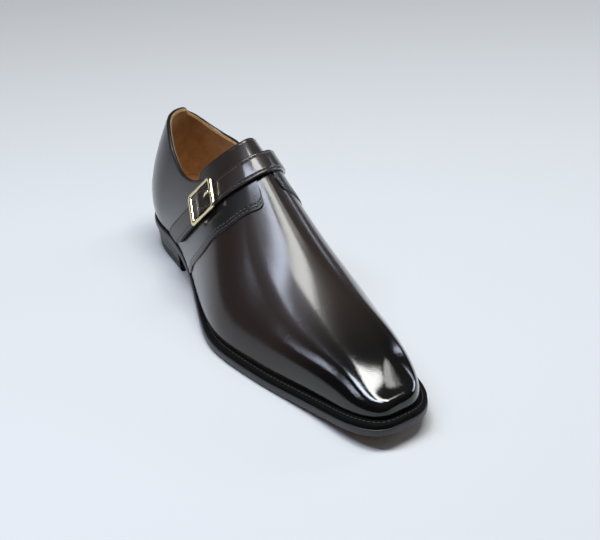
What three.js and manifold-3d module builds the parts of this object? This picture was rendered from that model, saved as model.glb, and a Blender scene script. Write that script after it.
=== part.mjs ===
import * as THREE from 'three';
import Module from 'manifold-3d';

// Monk strap shoe for the right foot, in millimetres.
// The toe points to -Y, the buckle side is -X, the floor is z = 0.

// Driving sizes
const LENGTH = 312;             // sole, back of heel to tip of toe
const BALL = 104;               // widest part of the sole
const INSTEP = 112;             // top of the instep above the floor
const BACK_HEIGHT = 91;         // top of the back seam above the floor
const HEEL_LENGTH = 67;         // back of heel to heel breast
const TOP_LIFT = 6;             // rubber lift under the heel
const SOLE_THICK = 5;           // outsole
const WELT_THICK = 2.8;         // welt on the outsole
const GAP = 0.3;                // clearance between neighbouring pieces
const WALL = 1.8;               // vamp leather with its lining
const QUARTER_STEP = 1.0;       // quarters lie this much proud of the vamp
const INSOLE_THICK = 2.4;
const TONGUE_THICK = 1.6;
const STRAP_THICK = 1.8;
const STRAP_CLEAR = 0.45;       // clearance under the strap, whose facets differ from the quarter's
const STRAP_WIDE = 14;          // width of the strap, across its own plane
const BUCKLE_LONG = 28;         // frame size along the strap
const BUCKLE_WIDE = 22.4;       // frame size across the strap
const BUCKLE_BAR = 2.0;         // width of the frame's bars
const BUCKLE_THICK = 2.0;
const PIN_RADIUS = 0.8;         // bar under the strap that holds the prong
const HUMP_HEIGHT = 3.7;        // rise of the strap over the pin
const HUMP_REACH = 10.5;        // half length of that rise
const TAB_WIDTH = 9;            // small tab over the back seam
const TAB_DROP = 13;
const TAB_THICK = 1.2;

// How finely the surfaces are divided
const STATIONS = 46;
const RIB_STEPS = 9;

// Natural cubic spline through one column of a table
function spline(xs, ys) {
  const n = xs.length;
  const h = xs.slice(1).map((x, i) => x - xs[i]);
  const c = new Array(n).fill(0);
  const d = new Array(n).fill(0);
  const m = new Array(n).fill(0);
  for (let i = 1; i < n - 1; i++) {
    const r = 6 * ((ys[i + 1] - ys[i]) / h[i] - (ys[i] - ys[i - 1]) / h[i - 1]);
    const p = 2 * (h[i - 1] + h[i]) - h[i - 1] * c[i - 1];
    c[i] = h[i] / p;
    d[i] = (r - h[i - 1] * d[i - 1]) / p;
  }
  for (let i = n - 2; i > 0; i--) m[i] = d[i] - c[i] * m[i + 1];
  return (x) => {
    let i = 0;
    while (i < n - 2 && x > xs[i + 1]) i++;
    const a = (xs[i + 1] - x) / h[i];
    const b = (x - xs[i]) / h[i];
    const bend = (a ** 3 - a) * m[i] + (b ** 3 - b) * m[i + 1];
    return a * ys[i] + b * ys[i + 1] + (bend * h[i] ** 2) / 6;
  };
}

// A table's first column is the station as a share of LENGTH.
// Each other column is a share of the size it is scaled by.
function table(columns, rows) {
  const at = rows.map((row) => row[0] * LENGTH);
  const out = {};
  columns.forEach(([name, size], k) => {
    out[name] = spline(at, rows.map((row) => row[k + 1] * size));
  });
  return out;
}

const plan = table(
  [['centre', BALL], ['half', BALL]],
  [
    [0.000, 0.014, 0.327],
    [0.112, 0.023, 0.319],
    [0.224, 0.012, 0.317],
    [0.337, -0.025, 0.337],
    [0.449, -0.041, 0.412],
    [0.545, -0.021, 0.484],
    [0.625, 0.011, 0.487],
    [0.705, 0.035, 0.450],
    [0.801, 0.051, 0.374],
    [0.897, 0.057, 0.306],
    [1.000, 0.052, 0.246],
  ],
);

// Ledge of the sole outside the upper, on each side
const ledge = table(
  [['outer', BALL], ['inner', BALL]],
  [
    [0.000, 0.014, 0.014],
    [0.224, 0.010, 0.010],
    [0.385, 0.012, 0.010],
    [0.545, 0.038, 0.030],
    [0.705, 0.052, 0.046],
    [0.865, 0.054, 0.048],
    [1.000, 0.052, 0.050],
  ],
);

// Underside of the sole above the floor: heel seat, arch, tread, toe spring
const underside = table(
  [['height', INSTEP]],
  [
    [0.000, 0.146],
    [0.128, 0.140],
    [0.240, 0.134],
    [0.337, 0.089],
    [0.433, 0.035],
    [0.529, 0.006],
    [0.609, -0.002],
    [0.689, -0.002],
    [0.785, 0.009],
    [0.897, 0.040],
    [1.000, 0.086],
  ],
);

// Sections of the last: wall, shoulder and ridge of each rib.
// wall: how far the side swells past the feather line, and how high above it.
// shoulder: half width each side, height above the floor and how tightly it turns.
// flat: half width of the flat on the ridge. ridge: its side shift and height.
const last = table(
  [['wallOut', BALL], ['wallIn', BALL], ['wallHigh', INSTEP],
    ['shoulderOut', BALL], ['shoulderIn', BALL], ['shoulderHigh', INSTEP], ['turn', 1],
    ['flat', BALL], ['ridgeX', BALL], ['ridge', INSTEP]],
  [
    [0.000, 0.070, 0.050, 0.205, 0.300, 0.230, 0.700, 1.0, 0.120, 0.030, 1.080],
    [0.128, 0.062, 0.040, 0.205, 0.290, 0.240, 0.700, 1.0, 0.120, 0.026, 1.085],
    [0.240, 0.040, 0.026, 0.196, 0.272, 0.280, 0.696, 1.0, 0.115, 0.018, 1.075],
    [0.337, 0.022, 0.018, 0.180, 0.272, 0.345, 0.690, 1.0, 0.110, 0.004, 1.008],
    [0.433, 0.022, 0.020, 0.155, 0.320, 0.375, 0.625, 1.0, 0.112, 0.000, 0.884],
    [0.529, 0.024, 0.022, 0.134, 0.360, 0.352, 0.518, 1.0, 0.125, 0.016, 0.719],
    [0.625, 0.019, 0.022, 0.110, 0.382, 0.322, 0.411, 1.0, 0.145, 0.046, 0.571],
    [0.721, 0.014, 0.018, 0.098, 0.374, 0.294, 0.330, 1.2, 0.163, 0.074, 0.462],
    [0.817, 0.010, 0.014, 0.098, 0.308, 0.240, 0.304, 1.6, 0.163, 0.092, 0.389],
    [0.913, 0.008, 0.010, 0.098, 0.242, 0.192, 0.295, 2.0, 0.145, 0.100, 0.349],
    [1.000, 0.008, 0.010, 0.098, 0.205, 0.178, 0.295, 2.0, 0.125, 0.100, 0.338],
  ],
);

// The five loops of the last: how far each starts from the heel's back and
// ends before the toe's tip, how long its ends are and how square they are
const LOOPS = [
  { back: 1.4, front: 5.5, backRound: 44, backPower: 2.2, frontRound: 34, frontPower: 3.6 },
  { back: -3.0, front: 5.5, backRound: 46, backPower: 2.2, frontRound: 34, frontPower: 3.6 },
  { back: 4.0, front: 11.0, backRound: 44, backPower: 2.2, frontRound: 30, frontPower: 3.2 },
  { back: 10.0, front: 24.0, backRound: 40, backPower: 2.2, frontRound: 26, frontPower: 2.6 },
  { back: 24.0, front: 40.0, backRound: 30, backPower: 2.2, frontRound: 22, frontPower: 2.2 },
];
const FRONT_CURVE = 2.3;        // how gently the sides run into the toe's end
const TOE_SLANT = 0.24;         // the toe's inner corner lies further back
const SLANT_FROM = 0.641;       // share of LENGTH where that slant starts
const SLANT_POWER = 1.5;
const RIDGE_SHARE = 0.5;        // shoulders follow half of the ridge's side shift

const BASE = SOLE_THICK + GAP + WELT_THICK + GAP;

function closure(x, p, q) {
  const t = Math.min(Math.max(x, 0), 1);
  return (1 - (1 - t) ** p) ** (1 / q);
}

function place(s, dx, centre, z) {
  const reach = Math.max((s / LENGTH - SLANT_FROM) / (1 - SLANT_FROM), 0);
  const slant = TOE_SLANT * reach ** SLANT_POWER;
  return [centre + dx, LENGTH / 2 - s + slant * dx, z];
}

// The tread is flat where the table dips under the floor
const ground = { height: (s) => Math.max(underside.height(s), 0) };
const featherZ = (s) => ground.height(s) + BASE;

// Point k (0 feather to 4 ridge) of the rib at share u, side -1 outer, 1 inner
function control(u, k, side) {
  const loop = LOOPS[k];
  const from = loop.back;
  const to = LENGTH - loop.front;
  const s = from + (to - from) * u;
  const back = closure((s - from) / loop.backRound, loop.backPower, loop.backPower);
  const front = closure((to - s) / loop.frontRound, FRONT_CURVE, loop.frontPower);
  const e = side * back * front;
  const centre = plan.centre(s);
  const foot = plan.half(s) - (side < 0 ? ledge.outer(s) : ledge.inner(s));
  if (k === 0) return place(s, e * foot, centre, featherZ(s));
  if (k === 1) {
    const swell = side < 0 ? last.wallOut(s) : last.wallIn(s);
    return place(s, e * (foot + swell), centre, featherZ(s) + last.wallHigh(s));
  }
  const ridgeX = last.ridgeX(s);
  if (k === 2) {
    const half = side < 0 ? last.shoulderOut(s) : last.shoulderIn(s);
    const middle = ridgeX * RIDGE_SHARE + centre * (1 - RIDGE_SHARE);
    return place(s, e * half, middle, last.shoulderHigh(s));
  }
  if (k === 3) return place(s, e * last.flat(s), ridgeX, last.ridge(s));
  return place(s, 0, ridgeX, last.ridge(s));
}

// Surface of the last at share u along it and v around it:
// v = 0 outer feather, 1 ridge, 2 inner feather
function surface(u, v) {
  const side = v <= 1 ? -1 : 1;
  const t = v <= 1 ? v : 2 - v;
  const r = 1 - t;
  const share = [r ** 4, 4 * t * r ** 3, 6 * t * t * r * r, 4 * t ** 3 * r, t ** 4];
  share[2] *= last.turn(LENGTH * u);
  const total = share.reduce((a, b) => a + b, 0);
  const point = [0, 0, 0];
  share.forEach((w, k) => {
    const p = control(u, k, side);
    for (let i = 0; i < 3; i++) point[i] += (p[i] * w) / total;
  });
  return point;
}

const minus = (a, b) => [a[0] - b[0], a[1] - b[1], a[2] - b[2]];
const along = (a, n, d) => [a[0] + n[0] * d, a[1] + n[1] * d, a[2] + n[2] * d];
const dot = (a, b) => a[0] * b[0] + a[1] * b[1] + a[2] * b[2];
const cross = (a, b) => [
  a[1] * b[2] - a[2] * b[1],
  a[2] * b[0] - a[0] * b[2],
  a[0] * b[1] - a[1] * b[0],
];
const unit = (a) => {
  const d = Math.hypot(...a) || 1;
  return [a[0] / d, a[1] / d, a[2] / d];
};

// Outward normal away from the ends
function normal(u, v) {
  const STEP = 0.002;
  const du = minus(surface(u + STEP, v), surface(u - STEP, v));
  const dv = minus(surface(u, v + STEP), surface(u, v - STEP));
  return unit(cross(du, dv));
}

// Stations at even steps along the feather line, so both ends are well divided
function stations(count) {
  const FINE = 400;
  const END = 0.12;
  const list = [];
  for (let i = 0; i < FINE; i++) list.push(END * (i / FINE) ** 2.2);
  for (let i = 0; i < FINE; i++) list.push(END + (1 - 2 * END) * (i / FINE));
  for (let i = FINE; i >= 0; i--) list.push(1 - END * (i / FINE) ** 6);
  const run = [0];
  let before = control(list[0], 0, -1);
  for (const u of list.slice(1)) {
    const p = control(u, 0, -1);
    run.push(run[run.length - 1] + Math.hypot(...minus(p, before)));
    before = p;
  }
  const out = [];
  let k = 0;
  for (let i = 0; i <= count; i++) {
    const want = (run[run.length - 1] * i) / count;
    while (k < run.length - 2 && run[k + 1] < want) k++;
    const t = (want - run[k]) / (run[k + 1] - run[k]);
    out.push(list[k] + t * (list[k + 1] - list[k]));
  }
  return out;
}

const STATION_LIST = stations(STATIONS);
const RIB_LIST = [];
for (let i = 0; i <= 2 * RIB_STEPS; i++) RIB_LIST.push(i / RIB_STEPS);

const wasm = await Module();
wasm.setup();

// A solid from points and triangles; equal points are joined
function solid(points, triangles) {
  const keys = new Map();
  const props = [];
  const remap = points.map((p) => {
    const key = p.map((x) => Math.round(x * 1e4)).join(',');
    if (!keys.has(key)) {
      keys.set(key, props.length / 3);
      props.push(...p);
    }
    return keys.get(key);
  });
  const verts = [];
  for (const t of triangles) {
    const [a, b, c] = t.map((i) => remap[i]);
    if (a !== b && b !== c && c !== a) verts.push(a, b, c);
  }
  return new wasm.Manifold(new wasm.Mesh({
    numProp: 3,
    vertProperties: Float32Array.from(props),
    triVerts: Uint32Array.from(verts),
  }));
}

function quad(list, a, b, c, d) {
  list.push([a, b, c], [a, c, d]);
}

// Closed form of the last, moved out by `off` and reaching `sink` below the feather
function form(off, sink) {
  const rows = STATION_LIST.length;
  const cols = RIB_LIST.length;
  const points = [];
  for (const u of STATION_LIST) for (const v of RIB_LIST) points.push(surface(u, v));
  const at = (i, j) => i * cols + j;
  const sums = points.map(() => [0, 0, 0]);
  const twin = (k) => {
    const i = Math.floor(k / cols);
    return i === 0 || i === rows - 1 ? at(i, Math.min(k % cols, cols - 1 - (k % cols))) : k;
  };
  const skin = [];
  for (let i = 0; i < rows - 1; i++) {
    for (let j = 0; j < cols - 1; j++) {
      quad(skin, at(i, j), at(i + 1, j), at(i + 1, j + 1), at(i, j + 1));
    }
  }
  for (const t of skin) {
    const [a, b, c] = t.map((i) => points[i]);
    const n = cross(minus(b, a), minus(c, a));
    for (const i of t) for (let x = 0; x < 3; x++) sums[twin(i)][x] += n[x];
  }
  const moved = points.map((p, k) => {
    const j = k % cols;
    const n = sums[twin(k)].slice();
    if (j === 0 || j === cols - 1) n[2] = 0;
    return along(p, unit(n), off);
  });
  const low = [];
  for (let i = 0; i < rows; i++) {
    for (const j of [0, cols - 1]) {
      const [x, y, z] = moved[at(i, j)];
      low.push([x, y, z - sink]);
    }
  }
  const base = moved.length;
  const all = moved.concat(low);
  const faces = skin.slice();
  for (let i = 0; i < rows - 1; i++) {
    const a = base + 2 * i;
    if (sink > 0) {
      quad(faces, a, a + 2, at(i + 1, 0), at(i, 0));
      quad(faces, a + 3, a + 1, at(i, cols - 1), at(i + 1, cols - 1));
    }
    quad(faces, a, a + 1, a + 3, a + 2);
  }
  return solid(all, faces);
}

// Slab between two heights; edge(i, side, level) gives its outline at station i
function slab(count, edge) {
  const points = [];
  for (let i = 0; i < count; i++) {
    for (const level of [0, 1]) for (const side of [-1, 1]) points.push(edge(i, side, level));
  }
  const faces = [];
  for (let i = 0; i < count - 1; i++) {
    const a = 4 * i;
    const b = a + 4;
    quad(faces, a, a + 1, b + 1, b);
    quad(faces, a + 2, b + 2, b + 3, a + 3);
    quad(faces, a, b, b + 2, a + 2);
    quad(faces, a + 1, a + 3, b + 3, b + 1);
  }
  const e = 4 * (count - 1);
  quad(faces, 0, 2, 3, 1);
  quad(faces, e, e + 1, e + 3, e + 2);
  return solid(points, faces);
}

// Edge of the sole at share u, drawn in by `inset`
function soleEdge(u, side, inset, z) {
  const s = inset + (LENGTH - 2 * inset) * u;
  const { backRound, backPower, frontRound, frontPower } = LOOPS[0];
  const back = closure((s - inset) / backRound, backPower, backPower);
  const front = closure((LENGTH - inset - s) / frontRound, FRONT_CURVE, frontPower);
  const half = (plan.half(s) - inset) * back * front;
  return place(s, side * half, plan.centre(s), z(s));
}

const insetSlab = (inset, low, high) => slab(
  STATION_LIST.length,
  (i, side, level) => soleEdge(STATION_LIST[i], side, inset, level ? high : low),
);

const soleTop = (s) => ground.height(s) + SOLE_THICK;
const weltTop = (s) => soleTop(s) + GAP + WELT_THICK;

const WELT_INSIDE = 11;         // width of the welt from the sole's edge inwards
const WELT_INSET = 0.5;         // welt stands this far inside the sole's edge
const OVERLAP = 0.5;            // solids joined into one share this depth
const INSOLE_REACH = 4;         // its cutting slab is wider than the foot by this

function outsole() {
  const lower = insetSlab(0, ground.height, soleTop);
  const raised = insetSlab(WELT_INSIDE + GAP, (s) => soleTop(s) - OVERLAP, weltTop);
  return lower.add(raised);
}

function welt() {
  const low = (s) => soleTop(s) + GAP;
  const ring = insetSlab(WELT_INSET, low, weltTop);
  const hole = insetSlab(WELT_INSIDE, (s) => low(s) - 1, (s) => weltTop(s) + 1);
  return ring.subtract(hole);
}

// The insole fills the upper's foot inside its wall
function insole() {
  const layer = insetSlab(-INSOLE_REACH, (s) => featherZ(s) - 1, (s) => featherZ(s) + INSOLE_THICK);
  return form(-(WALL + GAP), 0).intersect(layer);
}

const HEEL_INSET = 1.2;         // heel inside the sole's edge at its top
const HEEL_TAPER = 2.4;         // and this much more at the floor
const BREAST_CURVE = 2.5;       // hollow of the heel breast

function heelPart(low, high) {
  const list = STATION_LIST.filter((u) => u * LENGTH < HEEL_LENGTH);
  list.push(HEEL_LENGTH / LENGTH);
  const body = slab(list.length, (i, side, level) => {
    const z = level ? high : low;
    const seat = ground.height(0);
    const inset = (zz) => HEEL_INSET + HEEL_TAPER * (1 - zz / seat);
    const p = soleEdge(list[i], side, inset(level ? Math.min(high(0), seat) : low(0)), z);
    if (i === list.length - 1) p[1] = LENGTH / 2 - HEEL_LENGTH;
    return p;
  });
  const wide = BALL;
  const deep = wide * wide / (8 * BREAST_CURVE);
  const cut = new THREE.CylinderGeometry(deep, deep, 3 * INSTEP, 96);
  cut.rotateX(Math.PI / 2);
  cut.translate(plan.centre(HEEL_LENGTH), LENGTH / 2 - HEEL_LENGTH - deep + BREAST_CURVE * 0.4, 0);
  return body.subtract(fromGeometry(cut));
}

function fromGeometry(geometry, mirrored = false) {
  const position = geometry.attributes.position;
  const points = [];
  for (let i = 0; i < position.count; i++) {
    points.push([position.getX(i), position.getY(i), position.getZ(i)]);
  }
  const index = geometry.index ? Array.from(geometry.index.array) : points.map((_, i) => i);
  const faces = [];
  for (let i = 0; i < index.length; i += 3) {
    const face = index.slice(i, i + 3);
    faces.push(mirrored ? face.reverse() : face);
  }
  return solid(points, faces);
}

// Prism over a side view outline of [share of LENGTH, height] from x = from to x = to
function sidePrism(outline, from, to) {
  const shape = new THREE.Shape(outline.map(([at, z]) => new THREE.Vector2(at * LENGTH, z)));
  const prism = new THREE.ExtrudeGeometry(shape, { depth: to - from, bevelEnabled: false });
  const turn = new THREE.Matrix4().set(
    0, 0, 1, from,
    -1, 0, 0, LENGTH / 2,
    0, 1, 0, 0,
    0, 0, 0, 1,
  );
  prism.applyMatrix4(turn);
  return fromGeometry(prism, true);
}

// Smooth line through a few side view points
function smoothLine(points, steps) {
  const curve = new THREE.CatmullRomCurve3(points.map(([s, z]) => new THREE.Vector3(s, z, 0)));
  return curve.getPoints(steps).map((p) => [p.x, p.y]);
}

// Top line of the collar on each side: share of LENGTH, share of INSTEP
const TOP_LINE_OUT = [
  [-0.030, 0.815], [0.020, 0.813], [0.070, 0.800], [0.110, 0.770], [0.150, 0.712],
  [0.190, 0.662], [0.225, 0.640], [0.260, 0.650], [0.290, 0.680], [0.320, 0.722],
  [0.362, 0.770], [0.400, 0.880], [0.425, 0.960], [0.440, 1.060],
];
const TOP_LINE_IN = [
  [-0.030, 0.815], [0.012, 0.810], [0.032, 0.744], [0.051, 0.702], [0.071, 0.676],
  [0.100, 0.658], [0.140, 0.646], [0.185, 0.634], [0.230, 0.638], [0.275, 0.676], [0.320, 0.742],
  [0.362, 0.820], [0.400, 0.900], [0.425, 0.960], [0.440, 1.060],
];
const LINE_STEPS = 36;

function collarCutter() {
  const side = (line, from, to) => {
    const scaled = smoothLine(line.map(([at, z]) => [at, z * INSTEP]), LINE_STEPS);
    return sidePrism([[-0.1, 2 * INSTEP], ...scaled, [0.44, 2 * INSTEP]].reverse(), from, to);
  };
  const middle = plan.centre(0);
  return side(TOP_LINE_OUT, -BALL, middle).add(side(TOP_LINE_IN, middle, BALL));
}

// Front edge of the quarters, from the instep down to the feather line
const QUARTER_OUT = [
  [0.448, 0.900], [0.466, 0.842], [0.484, 0.786], [0.493, 0.744], [0.487, 0.704],
  [0.463, 0.607], [0.438, 0.527], [0.411, 0.404], [0.367, 0.271], [0.340, 0.160], [0.330, 0.020],
];
const QUARTER_IN = [
  [0.445, 0.860], [0.462, 0.812], [0.474, 0.775], [0.474, 0.735], [0.455, 0.670],
  [0.430, 0.580], [0.400, 0.450], [0.365, 0.300], [0.345, 0.170], [0.335, 0.020],
];
const FLAP_OUT = -0.060;        // share of BALL: the two flaps leave a strip between them
const FLAP_IN = 0.055;

function quarterRegion() {
  const side = (line, from, to) => {
    const scaled = smoothLine(line.map(([at, z]) => [at, z * INSTEP]), LINE_STEPS);
    return sidePrism([[-0.1, 1.3 * INSTEP], [0.40, 1.3 * INSTEP], ...scaled, [-0.1, 0]].reverse(), from, to);
  };
  const back = sidePrism([[-0.1, 0], [0.3, 0], [0.3, 2 * INSTEP], [-0.1, 2 * INSTEP]], -BALL, BALL);
  return side(QUARTER_OUT, -BALL, FLAP_OUT * BALL)
    .add(side(QUARTER_IN, FLAP_IN * BALL, BALL))
    .add(back);
}

function upper() {
  const region = quarterRegion();
  const vamp = form(0, 0);
  const quarters = form(QUARTER_STEP, 0).intersect(region);
  const inside = form(-WALL, 4);
  return vamp.add(quarters).subtract(inside).subtract(collarCutter());
}

// The strap lies between two parallel planes; `across` is the distance from its middle
const STRAP_NORMAL = unit([0.2957, -0.6585, -0.692]);
const STRAP_AT = [-0.071 * BALL, LENGTH / 2 - 0.4235 * LENGTH, 0.867 * INSTEP];
const across = (p) => dot(minus(p, STRAP_AT), STRAP_NORMAL);

// Station where the rib line v crosses the strap distance g
function stationAt(v, g) {
  let lo = 0.03;
  let hi = 0.7;
  for (let k = 0; k < 40; k++) {
    const mid = (lo + hi) / 2;
    if (across(surface(mid, v)) < g) lo = mid;
    else hi = mid;
  }
  return (lo + hi) / 2;
}

// Sheet on the last; spot(i, j) gives its rib line and strap distance at row i, column j
function sheet(rows, cols, spot, under, over) {
  const points = [];
  for (let i = 0; i < rows; i++) {
    for (let j = 0; j < cols; j++) {
      const [v, g] = spot(i, j);
      const u = stationAt(v, g);
      const p = surface(u, v);
      const n = normal(u, v);
      points.push(along(p, n, under(p)), along(p, n, over(p)));
    }
  }
  const at = (i, j) => 2 * (i * cols + j);
  const faces = [];
  for (let i = 0; i < rows - 1; i++) {
    for (let j = 0; j < cols - 1; j++) {
      quad(faces, at(i, j), at(i + 1, j), at(i + 1, j + 1), at(i, j + 1));
      quad(faces, at(i, j) + 1, at(i, j + 1) + 1, at(i + 1, j + 1) + 1, at(i + 1, j) + 1);
    }
    const e = cols - 1;
    quad(faces, at(i, 0), at(i, 0) + 1, at(i + 1, 0) + 1, at(i + 1, 0));
    quad(faces, at(i + 1, e), at(i + 1, e) + 1, at(i, e) + 1, at(i, e));
  }
  for (let j = 0; j < cols - 1; j++) {
    const e = rows - 1;
    quad(faces, at(0, j + 1), at(0, j + 1) + 1, at(0, j) + 1, at(0, j));
    quad(faces, at(e, j), at(e, j) + 1, at(e, j + 1) + 1, at(e, j + 1));
  }
  return solid(points, faces);
}

const STRAP_TAIL = 0.05;        // rib line where the strap's loose tip ends
const STRAP_END = 1.93;         // rib line where it is sewn in above the sole
const TAIL_ROUND = 0.10;        // how much the tip's corners are rounded off
const STRAP_SPANS = [           // rib lines and the rows up to each; close rows over the pin
  [0.395, 6],
  [0.565, 14],
  [STRAP_END, 26],
];
const STRAP_COLS = 6;
const TAIL_FADE = 0.15;         // share of the strap over which the rounding fades
const BUCKLE_RIB = 0.49;        // rib line under the middle of the buckle
const BUCKLE_SHIFT = -1.0;      // and its distance from the strap's middle plane
const BUCKLE_TILT = 0.04;       // its turns about the strap's run and in its own plane
const BUCKLE_ROLL = 0.05;

// Edges of the strap across its plane, rear and front, at rib lines from tip to sewn end
const STRAP_EDGES = [
  [0.00, -0.51, 0.49],
  [0.25, -0.50, 0.51],
  [0.45, -0.50, 0.45],
  [0.60, -0.56, 0.38],
  [0.80, -0.57, 0.44],
  [1.00, -0.51, 0.49],
  [1.20, -0.49, 0.56],
  [1.93, -0.49, 0.56],
];
const strapEdge = [1, 2].map((k) => spline(
  STRAP_EDGES.map((row) => row[0]),
  STRAP_EDGES.map((row) => row[k] * STRAP_WIDE),
));

// Axes of the buckle: along the strap towards the instep, across it, and outwards
function buckleAxes() {
  const STEP = 0.01;
  const at = (v) => surface(stationAt(v, BUCKLE_SHIFT), v);
  const centre = at(BUCKLE_RIB);
  const out = normal(stationAt(BUCKLE_RIB, BUCKLE_SHIFT), BUCKLE_RIB);
  const run = minus(at(BUCKLE_RIB + STEP), at(BUCKLE_RIB - STEP));
  const flat = unit(along(run, out, -dot(run, out)));
  const turned = (a, b, angle) => [
    along(a.map((x) => x * Math.cos(angle)), b, Math.sin(angle)),
    along(b.map((x) => x * Math.cos(angle)), a, -Math.sin(angle)),
  ];
  const [side, tilted] = turned(cross(out, flat), out, BUCKLE_TILT);
  const [long, wide] = turned(flat, side, BUCKLE_ROLL);
  return { centre, long, wide, out: tilted };
}
const axes = buckleAxes();

function onBuckle(geometry) {
  const m = new THREE.Matrix4().makeBasis(
    new THREE.Vector3(...axes.long),
    new THREE.Vector3(...axes.wide),
    new THREE.Vector3(...axes.out),
  );
  m.setPosition(...axes.centre);
  geometry.applyMatrix4(m);
  return fromGeometry(geometry);
}

const PIN_LIFT = 1.8;           // the pin stands this far above the quarter
const PIN_OUT = QUARTER_STEP + PIN_LIFT + PIN_RADIUS;
const SLOT_FROM = -1.6;         // opening for the prong, along the strap
const SLOT_TO = 5.4;
const SLOT_HALF = 1.3;

function strap() {
  const hump = (p) => {
    const d = dot(minus(p, axes.centre), axes.long) / HUMP_REACH;
    const near = Math.abs(dot(minus(p, axes.centre), axes.out)) < BUCKLE_LONG;
    return Math.abs(d) < 1 && near ? HUMP_HEIGHT * Math.cos((Math.PI / 2) * d) ** 2 : 0;
  };
  const under = (p) => QUARTER_STEP + STRAP_CLEAR + hump(p);
  const shares = [0];
  for (const [end, steps] of STRAP_SPANS) {
    const from = shares[shares.length - 1];
    const to = (end - STRAP_TAIL) / (STRAP_END - STRAP_TAIL);
    for (let k = 1; k <= steps; k++) shares.push(from + ((to - from) * k) / steps);
  }
  const band = sheet(shares.length, STRAP_COLS, (i, j) => {
    const off = Math.sin((Math.PI / 2) * ((2 * j) / (STRAP_COLS - 1) - 1));
    const corner = 1 - Math.sqrt(Math.max(1 - off ** 4, 0));
    const rounded = TAIL_ROUND * corner * Math.max(1 - shares[i] / TAIL_FADE, 0);
    const rib = STRAP_TAIL + (STRAP_END - STRAP_TAIL) * shares[i] + rounded;
    const [rear, front] = strapEdge.map((edge) => edge(rib));
    return [rib, (rear + front) / 2 + (off * (front - rear)) / 2];
  }, under, (p) => under(p) + STRAP_THICK);
  const slot = new THREE.BoxGeometry(SLOT_TO - SLOT_FROM, 2 * SLOT_HALF, 4 * STRAP_THICK);
  slot.translate((SLOT_TO + SLOT_FROM) / 2, 0, PIN_OUT + 2 * STRAP_THICK);
  return band.subtract(onBuckle(slot));
}

const FRAME_OUT = 4.2;          // underside of the frame above the last
const CORNER = 2.2;             // rounding of the frame's corners
const CORNER_STEPS = 4;

function roundedBox(path, long, wide, radius) {
  const [a, b, r] = [long / 2, wide / 2, radius];
  path.moveTo(a - r, -b);
  path.absarc(a - r, -b + r, r, -Math.PI / 2, 0, false);
  path.absarc(a - r, b - r, r, 0, Math.PI / 2, false);
  path.absarc(-a + r, b - r, r, Math.PI / 2, Math.PI, false);
  path.absarc(-a + r, -b + r, r, Math.PI, 1.5 * Math.PI, false);
  path.closePath();
  return path;
}

function buckleFrame() {
  const shape = roundedBox(new THREE.Shape(), BUCKLE_LONG, BUCKLE_WIDE, CORNER);
  const [long, wide] = [BUCKLE_LONG - 2 * BUCKLE_BAR, BUCKLE_WIDE - 2 * BUCKLE_BAR];
  shape.holes.push(roundedBox(new THREE.Path(), long, wide, CORNER / 3));
  const bevel = BUCKLE_THICK / 4;
  const ring = new THREE.ExtrudeGeometry(shape, {
    depth: BUCKLE_THICK - 2 * bevel,
    curveSegments: CORNER_STEPS,
    bevelThickness: bevel,
    bevelSize: bevel,
    bevelOffset: -bevel,
    bevelSegments: 1,
  });
  ring.translate(0, 0, FRAME_OUT + bevel);
  const pin = new THREE.CylinderGeometry(PIN_RADIUS, PIN_RADIUS, BUCKLE_WIDE - BUCKLE_BAR, 12);
  pin.translate(0, 0, PIN_OUT);
  return onBuckle(ring).add(onBuckle(pin));
}

// Prong: stations along the buckle and heights of its middle line
const PRONG_RADIUS = 0.8;
const PRONG = [
  [-0.3, PIN_OUT + PIN_RADIUS + GAP + PRONG_RADIUS],
  [2.0, PIN_OUT + 3.4],
  [5.0, PIN_OUT + 4.1],
  [9.0, PIN_OUT + 4.1],
  [12.0, FRAME_OUT + BUCKLE_THICK + 0.1 + GAP + PRONG_RADIUS],
  [14.6, FRAME_OUT + BUCKLE_THICK + GAP + PRONG_RADIUS],
];

function buckleProng() {
  const SIDES = 8;
  const line = new THREE.CatmullRomCurve3(PRONG.map(([x, z]) => new THREE.Vector3(x, 0, z)));
  const tube = new THREE.TubeGeometry(line, 14, PRONG_RADIUS, SIDES, false);
  const index = Array.from(tube.index.array);
  const position = Array.from(tube.attributes.position.array);
  const last = position.length / 3 - (SIDES + 1);
  for (let k = 1; k < SIDES - 1; k++) {
    index.push(0, k, k + 1);
    index.push(last, last + k + 1, last + k);
  }
  const closed = new THREE.BufferGeometry();
  closed.setAttribute('position', new THREE.Float32BufferAttribute(position, 3));
  closed.setIndex(index);
  return onBuckle(closed);
}

// Tongue: under the strap, its top edge beyond the strap with clipped corners
const TONGUE_TOP = -21.5;       // distance of the top edge from the strap's middle plane
const TONGUE_FOOT = 12;
const TONGUE_HALF = 0.235;      // half width as a share of BALL
const TONGUE_CLIP = 7;
const TONGUE_SHIFT = 0.05 * BALL; // its middle lies towards the inner side

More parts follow.
